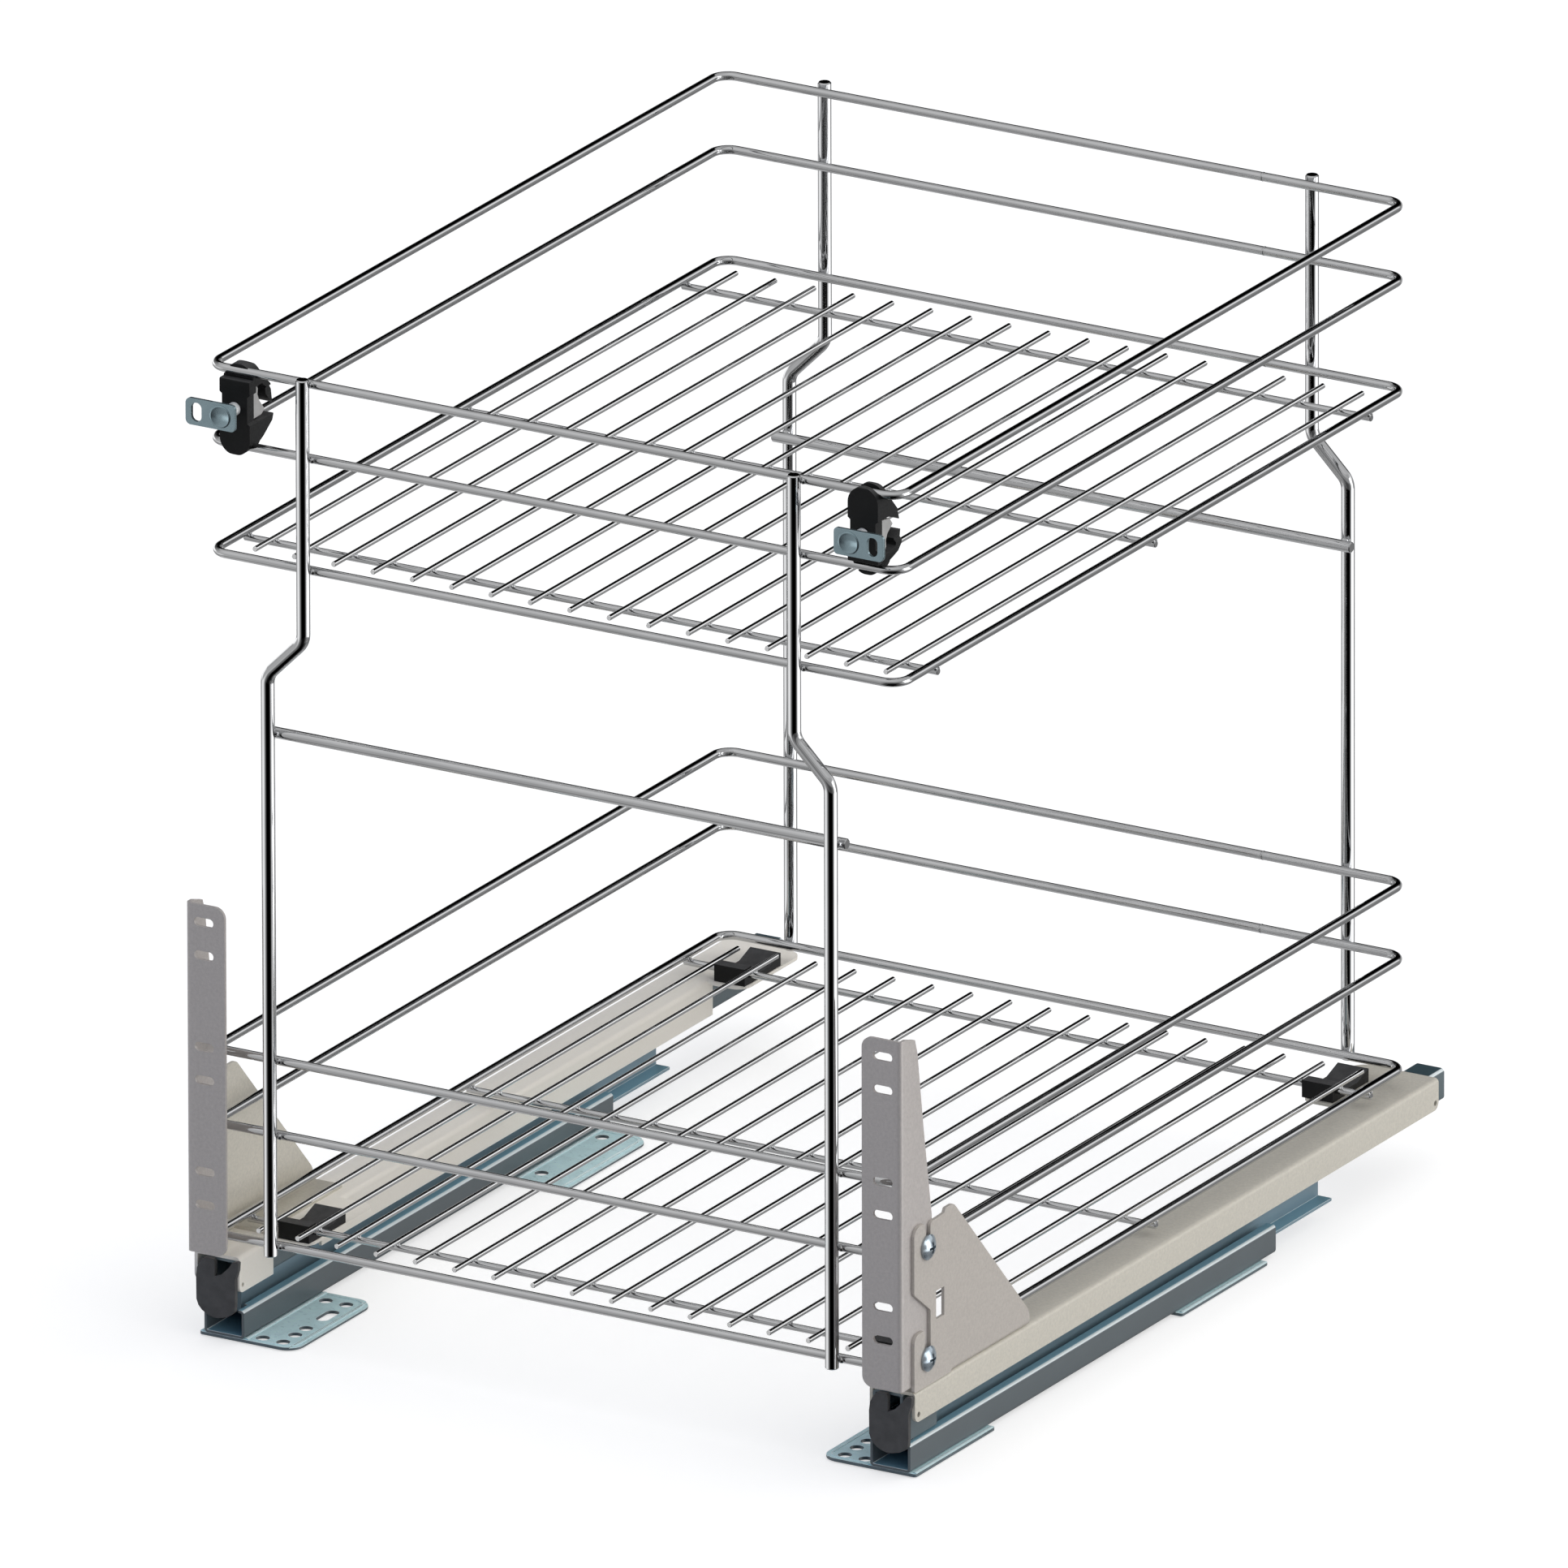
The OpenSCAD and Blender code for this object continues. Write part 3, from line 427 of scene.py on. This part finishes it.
def painted_light_stops(steep, sloped, edge, top, edge_end=0.88):
    """Stops of painted light by facing for passivated: upright faces, slopes, a painted highlight on rounded
    edges, and faces that look up.
    """
    return [(0.0, steep), (0.3, sloped), (0.45, edge), (edge_end, edge), (0.97, top)]


def moulded(name, side, top, low, high, rough):
    """Moulded plastic: fine grain, with a painted sheen that makes faces that look up a little lighter."""
    f = Finish(name)
    f.shader.inputs["Metallic"].default_value = 0.0
    f.shader.inputs["Specular IOR Level"].default_value = 0.25
    f.tinted(f.facing([(0.0, side), (0.55, side), (0.92, top)]), f.noise(scale=220, detail=4), low, high)
    f.roughness(f.noise(scale=1100, detail=3), *rough)
    f.bump(f.noise(scale=1800, detail=3), strength=0.2, distance=0.05)
    return f.material


def plastic(name, dark, light, rough):
    f = Finish(name)
    f.shader.inputs["Metallic"].default_value = 0.0
    f.colours(f.noise(scale=220, detail=4), [(0.3, dark), (0.7, light)])
    f.roughness(f.noise(scale=1100, detail=3), *rough)
    f.bump(f.noise(scale=1760, detail=3), strength=0.25, distance=0.06)
    return f.material


CHROME = chrome("chrome_wire", (0.565, 0.57, 0.58), (0.61, 0.615, 0.625))
# A brighter copy of the wire chrome for the floor bars: painted light on the thin bars
PAINTED_LIT_CHROME = chrome("chrome_bar", (0.84, 0.845, 0.855), (0.90, 0.904, 0.91))
NICKEL = nickel("nickel_sheet", (0.515, 0.48, 0.445), (0.62, 0.58, 0.535))
# Lit copies of the nickel sheet, as painted light: RAIL lighter, and the near-white one for the left rail,
# which lies in the basket's shade
RAIL = nickel("nickel_rail", (0.63, 0.605, 0.535), (0.76, 0.725, 0.64))
PAINTED_LIT_RAIL = nickel("nickel_rail_painted_lit", (0.95, 0.905, 0.82), (0.99, 0.95, 0.87), metallic=0.0)
# Nickel sheet of the brackets: the nickel's own tone with a greyer cast that is painted shade for their
# front faces
PAINTED_SHADE_BRACKET = nickel("bracket_sheet", (0.495, 0.465, 0.45), (0.60, 0.565, 0.545))
SCREW = zinc(
    "zinc_screw", (0.34, 0.42, 0.48), (0.42, 0.49, 0.55), (0.50, 0.56, 0.60),
    metallic=0.9, rough=(0.12, 0.2))
# Bright zinc of the studs' shanks, made near white as a painted highlight
PAINTED_HIGHLIGHT_SHANK = zinc(
    "zinc_shank", (0.82, 0.85, 0.87), (0.88, 0.90, 0.91), (0.93, 0.94, 0.95),
    metallic=0.3, rough=(0.2, 0.3))
TAB = zinc(
    "zinc_tab", (0.27, 0.37, 0.41), (0.31, 0.415, 0.455), (0.34, 0.45, 0.49),
    metallic=0.85, rough=(0.14, 0.22))
# Painted highlights on rounded edges, and painted light on faces that look up; the profiles' colours by
# facing are all painted light
PAINTED_EDGE_HIGHLIGHT = (0.85, 0.93, 0.95)
PAINTED_PALE_EDGE_HIGHLIGHT = (0.85, 0.97, 0.98)
PAINTED_LIT_BLUE_TOP = (0.24, 0.46, 0.58)
PROFILE = passivated(
    "zinc_profile",
    painted_light_stops((0.12, 0.145, 0.16), (0.14, 0.17, 0.185), PAINTED_EDGE_HIGHLIGHT, PAINTED_LIT_BLUE_TOP),
    low=0.96, high=1.04, scale=40, metallic=0.15, rough=(0.29, 0.34))
# Painted lit copy of the profile zinc: lighter sides stand in for light on the middle profile, which lies in
# shade under the rail
PAINTED_LIT_PROFILE = passivated(
    "zinc_middle_profile",
    painted_light_stops((0.23, 0.34, 0.41), (0.27, 0.39, 0.46), PAINTED_EDGE_HIGHLIGHT, PAINTED_LIT_BLUE_TOP),
    low=0.96, high=1.04, scale=40, metallic=0.15, rough=(0.29, 0.34))
TOP_PROFILE = passivated(
    "zinc_top_profile",
    painted_light_stops((0.13, 0.17, 0.19), (0.15, 0.195, 0.215), PAINTED_EDGE_HIGHLIGHT, (0.05, 0.09, 0.11)),
    low=0.94, high=1.05, scale=40, metallic=0.15, rough=(0.29, 0.34))
# The near-white cyan where the plates face up is painted light, lifting them out of the shade they lie in
PLATE = passivated(
    "zinc_plate",
    painted_light_stops((0.12, 0.16, 0.18), (0.16, 0.22, 0.24), PAINTED_PALE_EDGE_HIGHLIGHT, (0.70, 0.96, 1.0), edge_end=0.85),
    low=0.88, high=1.08, scale=130, metallic=0.0, rough=(0.25, 0.38))
# Bright cyan to near white on the plates' beads: painted highlights on their crests
PAINTED_HIGHLIGHT_ZINC = passivated(
    "zinc_painted_highlight",
    [(0.0, (0.35, 0.6, 0.68)), (0.5, (0.62, 0.92, 0.97)), (0.97, (0.80, 0.97, 1.0))],
    low=0.9, high=1.02, scale=300, metallic=0.0, rough=(0.2, 0.3))
BALL = zinc(
    "ball_steel", (0.45, 0.46, 0.48), (0.52, 0.53, 0.55), (0.58, 0.58, 0.59),
    metallic=1.0, rough=(0.08, 0.14))
# Black and grey plastic: their lighter tops are painted light
BLACK = moulded(
    "black_plastic", (0.005, 0.0055, 0.006), (0.06, 0.06, 0.061),
    low=0.8, high=1.2, rough=(0.42, 0.55))
GREY = moulded(
    "grey_plastic", (0.085, 0.085, 0.086), (0.13, 0.13, 0.131),
    low=0.85, high=1.15, rough=(0.5, 0.6))
PALE = plastic("pale_plastic", (0.42, 0.42, 0.415), (0.49, 0.49, 0.485), rough=(0.40, 0.52))
CAGE = plastic("cage_plastic", (0.60, 0.59, 0.55), (0.68, 0.67, 0.63), rough=(0.35, 0.5))


# Basket wires

def corner_points(cx, cy, z, start):
    return [
        (cx + BEND_R * math.cos(a), cy + BEND_R * math.sin(a), z)
        for a in (start + math.pi / 2 * k / CORNER_STEPS for k in range(CORNER_STEPS + 1))
    ]


def rim_path(z):
    x, y = SIDE_X - BEND_R, HALF_D - BEND_R
    path = []
    for cx, cy, start in ((x, y, 0), (-x, y, 90), (-x, -y, 180), (x, -y, 270)):
        path += corner_points(cx, cy, z, math.radians(start))
    return path


def upright_x(z):
    return UPRIGHT_LOW_X if z < JOGGLE_Z else UPRIGHT_HIGH_X


def rim(name, z):
    shape = Shape()
    shape.tube(rim_path(z), RIM_R, sides=24, closed=True)
    # Butt weld of the ring, on its back wire and never at quite the same place
    weld_x = RING_WELD_X + random.uniform(-RING_WELD_SPREAD, RING_WELD_SPREAD)
    shape.bead((weld_x, HALF_D, z), RING_WELD, sides=16, rows=10)
    # Small nuggets where the ring is welded to the uprights
    for sx in (-1, 1):
        for sy in (-1, 1):
            x = sx * upright_x(z)
            for side in (-1, 1):
                bead_z = z + random.uniform(-0.4, 0.3)
                shape.bead((x + side * RING_BEAD_X, sy * (HALF_D + RING_BEAD_Y), bead_z), RING_BEAD)
    return shape.piece(name + "_wire", CHROME, "carriage", [name])


for tier, rims in (("lower", LOWER_RIMS), ("upper", UPPER_RIMS)):
    for place, height in zip(("bottom", "middle", "top"), rims):
        rim(f"{tier}_rim_{place}", height)


def floor_bars(tier, tie_z):
    shape = Shape()
    z = tie_z + TIE_R + BAR_R - WELD_SINK
    for i in range(BAR_COUNT):
        x = -BAR_SPAN / 2 + i * BAR_SPAN / (BAR_COUNT - 1)
        shape.tube([(x, BAR_Y0, z), (x, 0, z), (x, BAR_Y1, z)], BAR_R, sides=24, chamfer=0.2)
        for y in (-TIE_Y, 0, TIE_Y):
            for side in (-1, 1):
                shape.bead((x, y + side * BAR_BEAD_Y, z - BAR_R - BAR_BEAD_DROP), BAR_BEAD, sides=8)
    shape.piece(f"{tier}_floor_wires", PAINTED_LIT_CHROME, "carriage", [f"{tier}_floor_bars"])


def tie_wires(tier, z):
    shape = Shape()
    for y in (-TIE_Y, 0, TIE_Y):
        shape.tube([(-TIE_END, y, z), (0, y, z), (TIE_END, y, z)], TIE_R, sides=18, chamfer=0.25)
        # Nuggets where the tie wire is welded under the bottom ring
        for sx in (-1, 1):
            for side in (-1, 1):
                shape.bead((sx * SIDE_X, y + side * TIE_BEAD_Y, z + TIE_BEAD_Z), TIE_BEAD)
    shape.piece(f"{tier}_tie_set", CHROME, "carriage", [f"{tier}_tie_wires"])


for tier, tie_z in (("lower", LOWER_TIE_Z), ("upper", UPPER_TIE_Z)):
    floor_bars(tier, tie_z)
    tie_wires(tier, tie_z)


def upright_path(sx, y):
    """Centre line with a bend at each end of the slanted joggle."""
    r, angle = JOGGLE_BEND_R, math.radians(JOGGLE_ANGLE)
    shift = UPRIGHT_LOW_X - UPRIGHT_HIGH_X
    bend_x = r * (1 - math.cos(angle))
    bend_z = r * math.sin(angle)
    slant = (shift - 2 * bend_x) / math.sin(angle)
    half = bend_z + slant * math.cos(angle) / 2
    z0, z1 = JOGGLE_Z - half, JOGGLE_Z + half
    path = [(sx * UPRIGHT_LOW_X, y, UPRIGHT_Z0), (sx * UPRIGHT_LOW_X, y, z0 - 1)]
    for k in range(BEND_STEPS + 1):
        a = angle * k / BEND_STEPS
        path.append((sx * (UPRIGHT_LOW_X - r * (1 - math.cos(a))), y, z0 + r * math.sin(a)))
    for k in range(BEND_STEPS, -1, -1):
        a = angle * k / BEND_STEPS
        path.append((sx * (UPRIGHT_HIGH_X + r * (1 - math.cos(a))), y, z1 - r * math.sin(a)))
    path += [(sx * UPRIGHT_HIGH_X, y, z1 + 1), (sx * UPRIGHT_HIGH_X, y, UPRIGHT_Z1)]
    return path


for sx, side in ((1, "right"), (-1, "left")):
    for sy, end in ((-1, "front"), (1, "back")):
        shape = Shape()
        shape.tube(upright_path(sx, sy * UPRIGHT_Y), UPRIGHT_R, sides=32, chamfer=0.5)
        # Beads of the cross bar's weld
        for dz in (-1, 1):
            shape.bead((sx * UPRIGHT_LOW_X, sy * (CROSS_Y + CROSS_BEAD_Y), CROSS_Z + dz * CROSS_BEAD_Z),
                       CROSS_BEAD)
        shape.piece(f"upright_wire_{end}_{side}", CHROME, "carriage",
                    [f"upright_{end}_{side}"])

for sy, end in ((-1, "front"), (1, "back")):
    shape = Shape()
    y = sy * CROSS_Y
    shape.tube([(-CROSS_END, y, CROSS_Z), (0, y, CROSS_Z), (CROSS_END, y, CROSS_Z)], CROSS_R,
               sides=28, chamfer=0.4)
    shape.piece(f"cross_wire_{end}", CHROME, "carriage", [f"cross_bar_{end}"])


# Rails, brackets, runners and plates: finer copies of the CAD solids
SIDES = ("left", "right")
for side in SIDES:
    left = side == "left"
    # The left rail takes the near-white painted-lit nickel; the right rail and the left wing take the
    # lighter painted-lit copy
    rounded_copy(f"top_rail_{side}", f"rail_{side}", PAINTED_LIT_RAIL if left else RAIL, "carriage",
                 0.28)
    rounded_copy(f"wing_plate_{side}", f"wing_{side}", RAIL if left else NICKEL, "carriage",
                 0.25)
    rounded_copy(f"front_bracket_{side}", f"angle_bracket_{side}", PAINTED_SHADE_BRACKET, f"bracket_{side}",
                 0.3)
    rounded_copy(f"holder_body_{side}", f"holder_{side}", BLACK, "carriage", 0.35)
    rounded_copy(f"holder_wedge_{side}", f"wedge_{side}", PALE, "carriage", 0.25)
    rounded_copy(f"front_buffer_{side}", f"buffer_{side}", GREY, "carriage", 0.35)
    rounded_copy(f"holder_tab_{side}", f"tab_plate_{side}", TAB, f"tab_{side}", 0.2)
    rounded_copy(f"runner_inner_{side}", f"inner_profile_{side}", TOP_PROFILE, "carriage",
                 0.2)
    rounded_copy(f"runner_middle_{side}", f"middle_profile_{side}", PAINTED_LIT_PROFILE, f"middle_{side}",
                 0.2)
    rounded_copy(f"runner_fixed_{side}", f"fixed_profile_{side}", PROFILE, "base", 0.2)
    for end in ("front", "back"):
        rounded_copy(f"{end}_plate_{side}", f"foot_plate_{end}_{side}", PLATE, "base", 0.2)
        rounded_copy(f"basket_clip_{end}_{side}", f"clip_{end}_{side}", BLACK, "carriage",
                     0.35)


# Beads pressed in the base plates: a step beside the channel, a border, and an outer lip, all coloured as
# painted highlights

def plate_beads(name, sx, span):
    y0, y1 = span
    step_end, lip_end = 0.6, 1.2
    beads = Shape()
    beads.strip([(sx * STEP_X, y, PLATE_TOP) for y in (y0 + step_end, y1 - step_end)], *STEP_BEAD)
    # Border: along one end, round two corners, and back along the other end
    edge_x = PLATE_IN + BORDER_INSET
    border = [(BORDER_END_X, y0 + BORDER_INSET)]
    for start, corner_y in ((270, y0 + BORDER_INSET + BORDER_R), (180, y1 - BORDER_INSET - BORDER_R)):
        for k in range(BEND_STEPS + 1):
            a = math.radians(start - 90 * k / BEND_STEPS)
            border.append((edge_x + BORDER_R + BORDER_R * math.cos(a), corner_y + BORDER_R * math.sin(a)))
    border.append((BORDER_END_X, y1 - BORDER_INSET))
    band_end = PLATE_IN + EDGE_BAND
    path = [(sx * x, y, PLATE_TOP - (EDGE_DROP if x < band_end else 0)) for x, y in border]
    beads.strip(path, *BORDER_BEAD)
    beads.piece(name + "_beads", PAINTED_HIGHLIGHT_ZINC, "base")
    lip = Shape()
    x = sx * (PLATE_OUT - LIP_INSET)
    lip.strip([(x, y, PLATE_TOP) for y in (y0 + lip_end, y1 - lip_end)], *LIP_BEAD)
    lip.piece(name + "_lip", PAINTED_HIGHLIGHT_ZINC, "base")


# Studs of the holders: turned shank of bright zinc whose near-white colour is a painted highlight, and a
# head the colour of the tab it holds

def stud(side, sx, z):
    face = TAB_PLANE + HEAD_T
    neck = TAB_T + STUD_PLAY
    end = -HALF_D - STUD_GAP - face
    chamfer = 0.25
    groove = 0.5
    # Shank: a neck in the tab, a collar behind it, and fine turned rings up to the basket's wires
    profile = [(0.0, NECK_R), (neck, NECK_R), (neck, STUD_R - chamfer), (neck + chamfer, STUD_R)]
    reach = neck + RING_PITCH
    while reach + groove < end:
        profile += [(reach, STUD_R), (reach + groove / 2, STUD_R - RING_DEPTH), (reach + groove, STUD_R)]
        reach += RING_PITCH
    profile += [(end, STUD_R)]
    shank = Shape()
    shank.turned(profile, (sx * HOLDER_X, face, z), (0, 1, 0), 36)
    shank.piece(f"stud_shank_{side}", PAINTED_HIGHLIGHT_SHANK, "carriage", [f"holder_stud_{side}"])
    # Head: a disc with a chamfered rim and a shallow dish
    head = Shape()
    head.turned([(0.0, HEAD_R), (0.12, HEAD_R), (HEAD_T, 4.8), (HEAD_T, 4.3), (0.34, 4.2), (0.34, 0.5)],
                (sx * HOLDER_X, face, z), (0, -1, 0), 64)
    head.piece(f"stud_head_{side}", TAB, "carriage", [f"holder_stud_{side}"])


for side, sx in (("left", -1), ("right", 1)):
    stud(side, sx, HOLDER_Z - sx * STUD_LIFT)
    for end, span in (("front", FRONT_PLATE), ("back", BACK_PLATE)):
        plate_beads(f"{end}_plate_{side}", sx, span)


def finish_nodes(prefix, finish):
    for side in SIDES:
        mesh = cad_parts[f"{prefix}_{side}"].data
        mesh.materials.clear()
        mesh.materials.append(finish)


for prefix, finish in (("bracket_screws", SCREW), ("lower_cage", CAGE),
                       ("upper_cage", CAGE), ("lower_balls", BALL), ("upper_balls", BALL)):
    finish_nodes(prefix, finish)


# Floor, camera and studio light

# The floor in metres: half its side, and how far it lies under the object so that the two don't touch
FLOOR_HALF = 30
FLOOR_DROP = 0.0005
FLOOR_GREY = 0.62
# Light that the camera sees the floor give off, which brings it near white
FLOOR_GLOW = 0.58


def floor():
    """White floor that takes a faint shadow and isn't seen in the metal."""
    mesh = bpy.data.meshes.new("floor")
    s = FLOOR_HALF
    mesh.from_pydata([(-s, -s, 0), (s, -s, 0), (s, s, 0), (-s, s, 0)], [], [(0, 1, 2, 3)])
    obj = bpy.data.objects.new("floor", mesh)
    bpy.context.scene.collection.objects.link(obj)
    obj.location.z = -FLOOR_DROP
    material = bpy.data.materials.new("studio_floor")
    material.use_nodes = True
    tree = material.node_tree
    tree.nodes.clear()
    out = tree.nodes.new("ShaderNodeOutputMaterial")
    matt = tree.nodes.new("ShaderNodeBsdfDiffuse")
    matt.inputs["Color"].default_value = (FLOOR_GREY, FLOOR_GREY, FLOOR_GREY, 1)
    glow = tree.nodes.new("ShaderNodeEmission")
    rays = tree.nodes.new("ShaderNodeLightPath")
    lift = tree.nodes.new("ShaderNodeMath")
    lift.operation = "MULTIPLY"
    lift.inputs[1].default_value = FLOOR_GLOW
    both = tree.nodes.new("ShaderNodeAddShader")
    clear = tree.nodes.new("ShaderNodeBsdfTransparent")
    mix = tree.nodes.new("ShaderNodeMixShader")
    tree.links.new(rays.outputs["Is Camera Ray"], lift.inputs[0])
    tree.links.new(lift.outputs[0], glow.inputs["Strength"])
    tree.links.new(matt.outputs[0], both.inputs[0])
    tree.links.new(glow.outputs[0], both.inputs[1])
    tree.links.new(rays.outputs["Is Glossy Ray"], mix.inputs[0])
    tree.links.new(both.outputs[0], mix.inputs[1])
    tree.links.new(clear.outputs[0], mix.inputs[2])
    tree.links.new(mix.outputs[0], out.inputs["Surface"])
    mesh.materials.append(material)


# Studio seen in reflections: grey levels (0 black, 255 white, more for lamps) by compass direction, with 0
# degrees ahead of the front and 90 to the right, for rings at -54, -33, -19.5, -7, 15, 31 and 50 degrees
RINGS = (
    [(-180, 150), (-110, 160), (-60, 160), (-35, 60), (-15, 8), (50, 8), (90, 60), (130, 120), (180, 150)],
    [(-180, 125), (-120, 130), (-60, 140), (-34, 130), (-10, 80), (10, 20), (50, 20), (80, 100), (120, 130),
     (153, 98), (180, 125)],
    [(-180, 170), (-166, 150), (-150, 105), (-120, 120), (-98, 150), (-76, 215), (-60, 235), (-43, 210),
     (-32, 160), (-17, 96), (-5, 40), (7, 3), (53, 3), (65, 60), (77, 150), (88, 225), (100, 285),
     (119, 295), (136, 290), (145, 118), (158, 105), (180, 170)],
    [(-180, 150), (-146, 110), (-132, 235), (-100, 250), (-78, 160), (-45, 160), (-28, 149), (0, 90),
     (30, 60), (60, 80), (90, 150), (98, 320), (118, 320), (130, 160), (146, 125), (180, 150)],
    [(-180, 12), (-146, 8), (-115, 90), (-60, 165), (-30, 167), (20, 120), (80, 140), (94, 320), (116, 320),
     (130, 200), (152, 215), (162, 90), (180, 12)],
    [(-180, 3), (-150, 3), (-130, 15), (-100, 110), (-60, 170), (-33, 175), (30, 160), (90, 150), (135, 170),
     (152, 165), (161, 60), (170, 5), (180, 3)],
    [(-180, 140), (-139, 143), (-101, 160), (-45, 184), (30, 180), (90, 170), (140, 160), (180, 140)],
)
# Heights between which one ring gives way to the next, in degrees
RING_EDGES = ((-48, -40), (-27, -23), (-16, -12), (2, 11), (21, 27), (37, 43))
DISPLAY_GAMMA = 2.2
# Share of the light that the wires' chrome keeps
CHROME_SHARE = 0.6

# Light on matt surfaces, by compass direction, the level overhead, and the heights in degrees between which
# that takes over
SOFT_RING = [(-180, (0.80, 0.80, 0.80)), (-90, (0.52, 0.54, 0.60)), (-40, (0.12, 0.18, 0.33)),
             (30, (0.30, 0.34, 0.42)), (75, (1.40, 1.37, 1.33)), (150, (1.40, 1.37, 1.33)),
             (180, (0.80, 0.80, 0.80))]
SOFT_TOP = 0.92
SOFT_HEIGHTS = (35, 75)


def ring_levels(stops):
    """Light levels of a ring that make the wires show its grey levels."""
    return [(turn, ((value / 255) ** DISPLAY_GAMMA / CHROME_SHARE,) * 3) for turn, value in stops]


def studio():
    """White to camera and transmission rays, RINGS to reflections, and the softer ring to all else."""
    world = bpy.data.worlds.new("studio")
    bpy.context.scene.world = world
    world.use_nodes = True
    tree = world.node_tree
    tree.nodes.clear()

    def math_node(kind, a, b=None):
        node = tree.nodes.new("ShaderNodeMath")
        node.operation = kind
        for socket, value in zip(node.inputs, (a, b)):
            if value is None:
                continue
            if isinstance(value, (int, float)):
                socket.default_value = value
            else:
                tree.links.new(value, socket)
        return node.outputs[0]

    def ring(stops, turn):
        return colour_ramp(tree, turn, [((degrees + 180) / 360, level) for degrees, level in stops])

    def step(value, low, high):
        node = tree.nodes.new("ShaderNodeMapRange")
        node.interpolation_type = "SMOOTHSTEP"
        node.inputs["From Min"].default_value = low
        node.inputs["From Max"].default_value = high
        tree.links.new(value, node.inputs["Value"])
        return node.outputs["Result"]

    def blend(fac, a, b):
        node = tree.nodes.new("ShaderNodeMix")
        node.data_type = "RGBA"
        for socket, value in ((0, fac), (6, a), (7, b)):
            if isinstance(value, tuple):
                node.inputs[socket].default_value = value
            else:
                tree.links.new(value, node.inputs[socket])
        return node.outputs[2]

    direction = tree.nodes.new("ShaderNodeTexCoord").outputs["Generated"]
    parts = tree.nodes.new("ShaderNodeSeparateXYZ")
    tree.links.new(direction, parts.inputs[0])
    x, y, z = parts.outputs
    compass = math_node("ARCTAN2", x, math_node("MULTIPLY", y, -1.0))
    turn = math_node("ADD", math_node("DIVIDE", compass, 2 * math.pi), 0.5)
    height = math_node("MULTIPLY", math_node("ARCSINE", z), 180 / math.pi)
    colour = ring(ring_levels(RINGS[0]), turn)
    for (low, high), stops in zip(RING_EDGES, RINGS[1:]):
        colour = blend(step(height, low, high), colour, ring(ring_levels(stops), turn))
    rays = tree.nodes.new("ShaderNodeLightPath").outputs
    overhead = (SOFT_TOP, SOFT_TOP, SOFT_TOP, 1)
    soft = blend(step(height, *SOFT_HEIGHTS), ring(SOFT_RING, turn), overhead)
    seen = blend(rays["Is Glossy Ray"], soft, colour)
    white = (1.0, 1.0, 1.0, 1)
    seen = blend(rays["Is Transmission Ray"], seen, white)
    seen = blend(rays["Is Camera Ray"], seen, white)
    background = tree.nodes.new("ShaderNodeBackground")
    tree.links.new(seen, background.inputs["Color"])
    out = tree.nodes.new("ShaderNodeOutputWorld")
    tree.links.new(background.outputs[0], out.inputs["Surface"])


# View of the photograph: turn, tilt and roll in degrees, pixels per metre, the picture's side in pixels, and
# a lens in mm that is long enough for a nearly parallel view
VIEW_TURN = 30.237
VIEW_TILT = 19.460
VIEW_ROLL = -0.134
VIEW_SCALE = 2859.5
VIEW_PIXELS = 1932
VIEW_LENS = 1600.0
# The basket's top middle lies this many pixels right of and above the picture's middle
ANCHOR = at(0, 0, 445.5)
ANCHOR_RIGHT = 31.1
ANCHOR_UP = 616.9


def camera():
    turn, tilt, roll = (math.radians(a) for a in (VIEW_TURN, VIEW_TILT, VIEW_ROLL))
    right = Vector((math.cos(turn), math.sin(turn), 0))
    ahead = Vector((-math.sin(turn) * math.cos(tilt), math.cos(turn) * math.cos(tilt), -math.sin(tilt)))
    up = right.cross(ahead)
    cam_right = right * math.cos(roll) + up * math.sin(roll)
    cam_up = up * math.cos(roll) - right * math.sin(roll)
    target = ANCHOR - cam_right * (ANCHOR_RIGHT / VIEW_SCALE) - cam_up * (ANCHOR_UP / VIEW_SCALE)
    data = bpy.data.cameras.new("camera")
    data.sensor_width = 36.0
    data.lens = VIEW_LENS
    data.clip_start = 1.0
    data.clip_end = 200.0
    place = ANCHOR - ahead * (VIEW_LENS * VIEW_PIXELS / VIEW_SCALE / data.sensor_width)
    aim = (target - place).normalized()
    cam_right = (cam_right - aim * cam_right.dot(aim)).normalized()
    cam_up = cam_right.cross(aim)
    obj = bpy.data.objects.new("camera", data)
    bpy.context.scene.collection.objects.link(obj)
    obj.matrix_world = Matrix.Translation(place) @ Matrix((cam_right, cam_up, -aim)).transposed().to_4x4()
    bpy.context.scene.camera = obj


floor()
studio()
camera()
bpy.context.scene.view_settings.view_transform = "Standard"
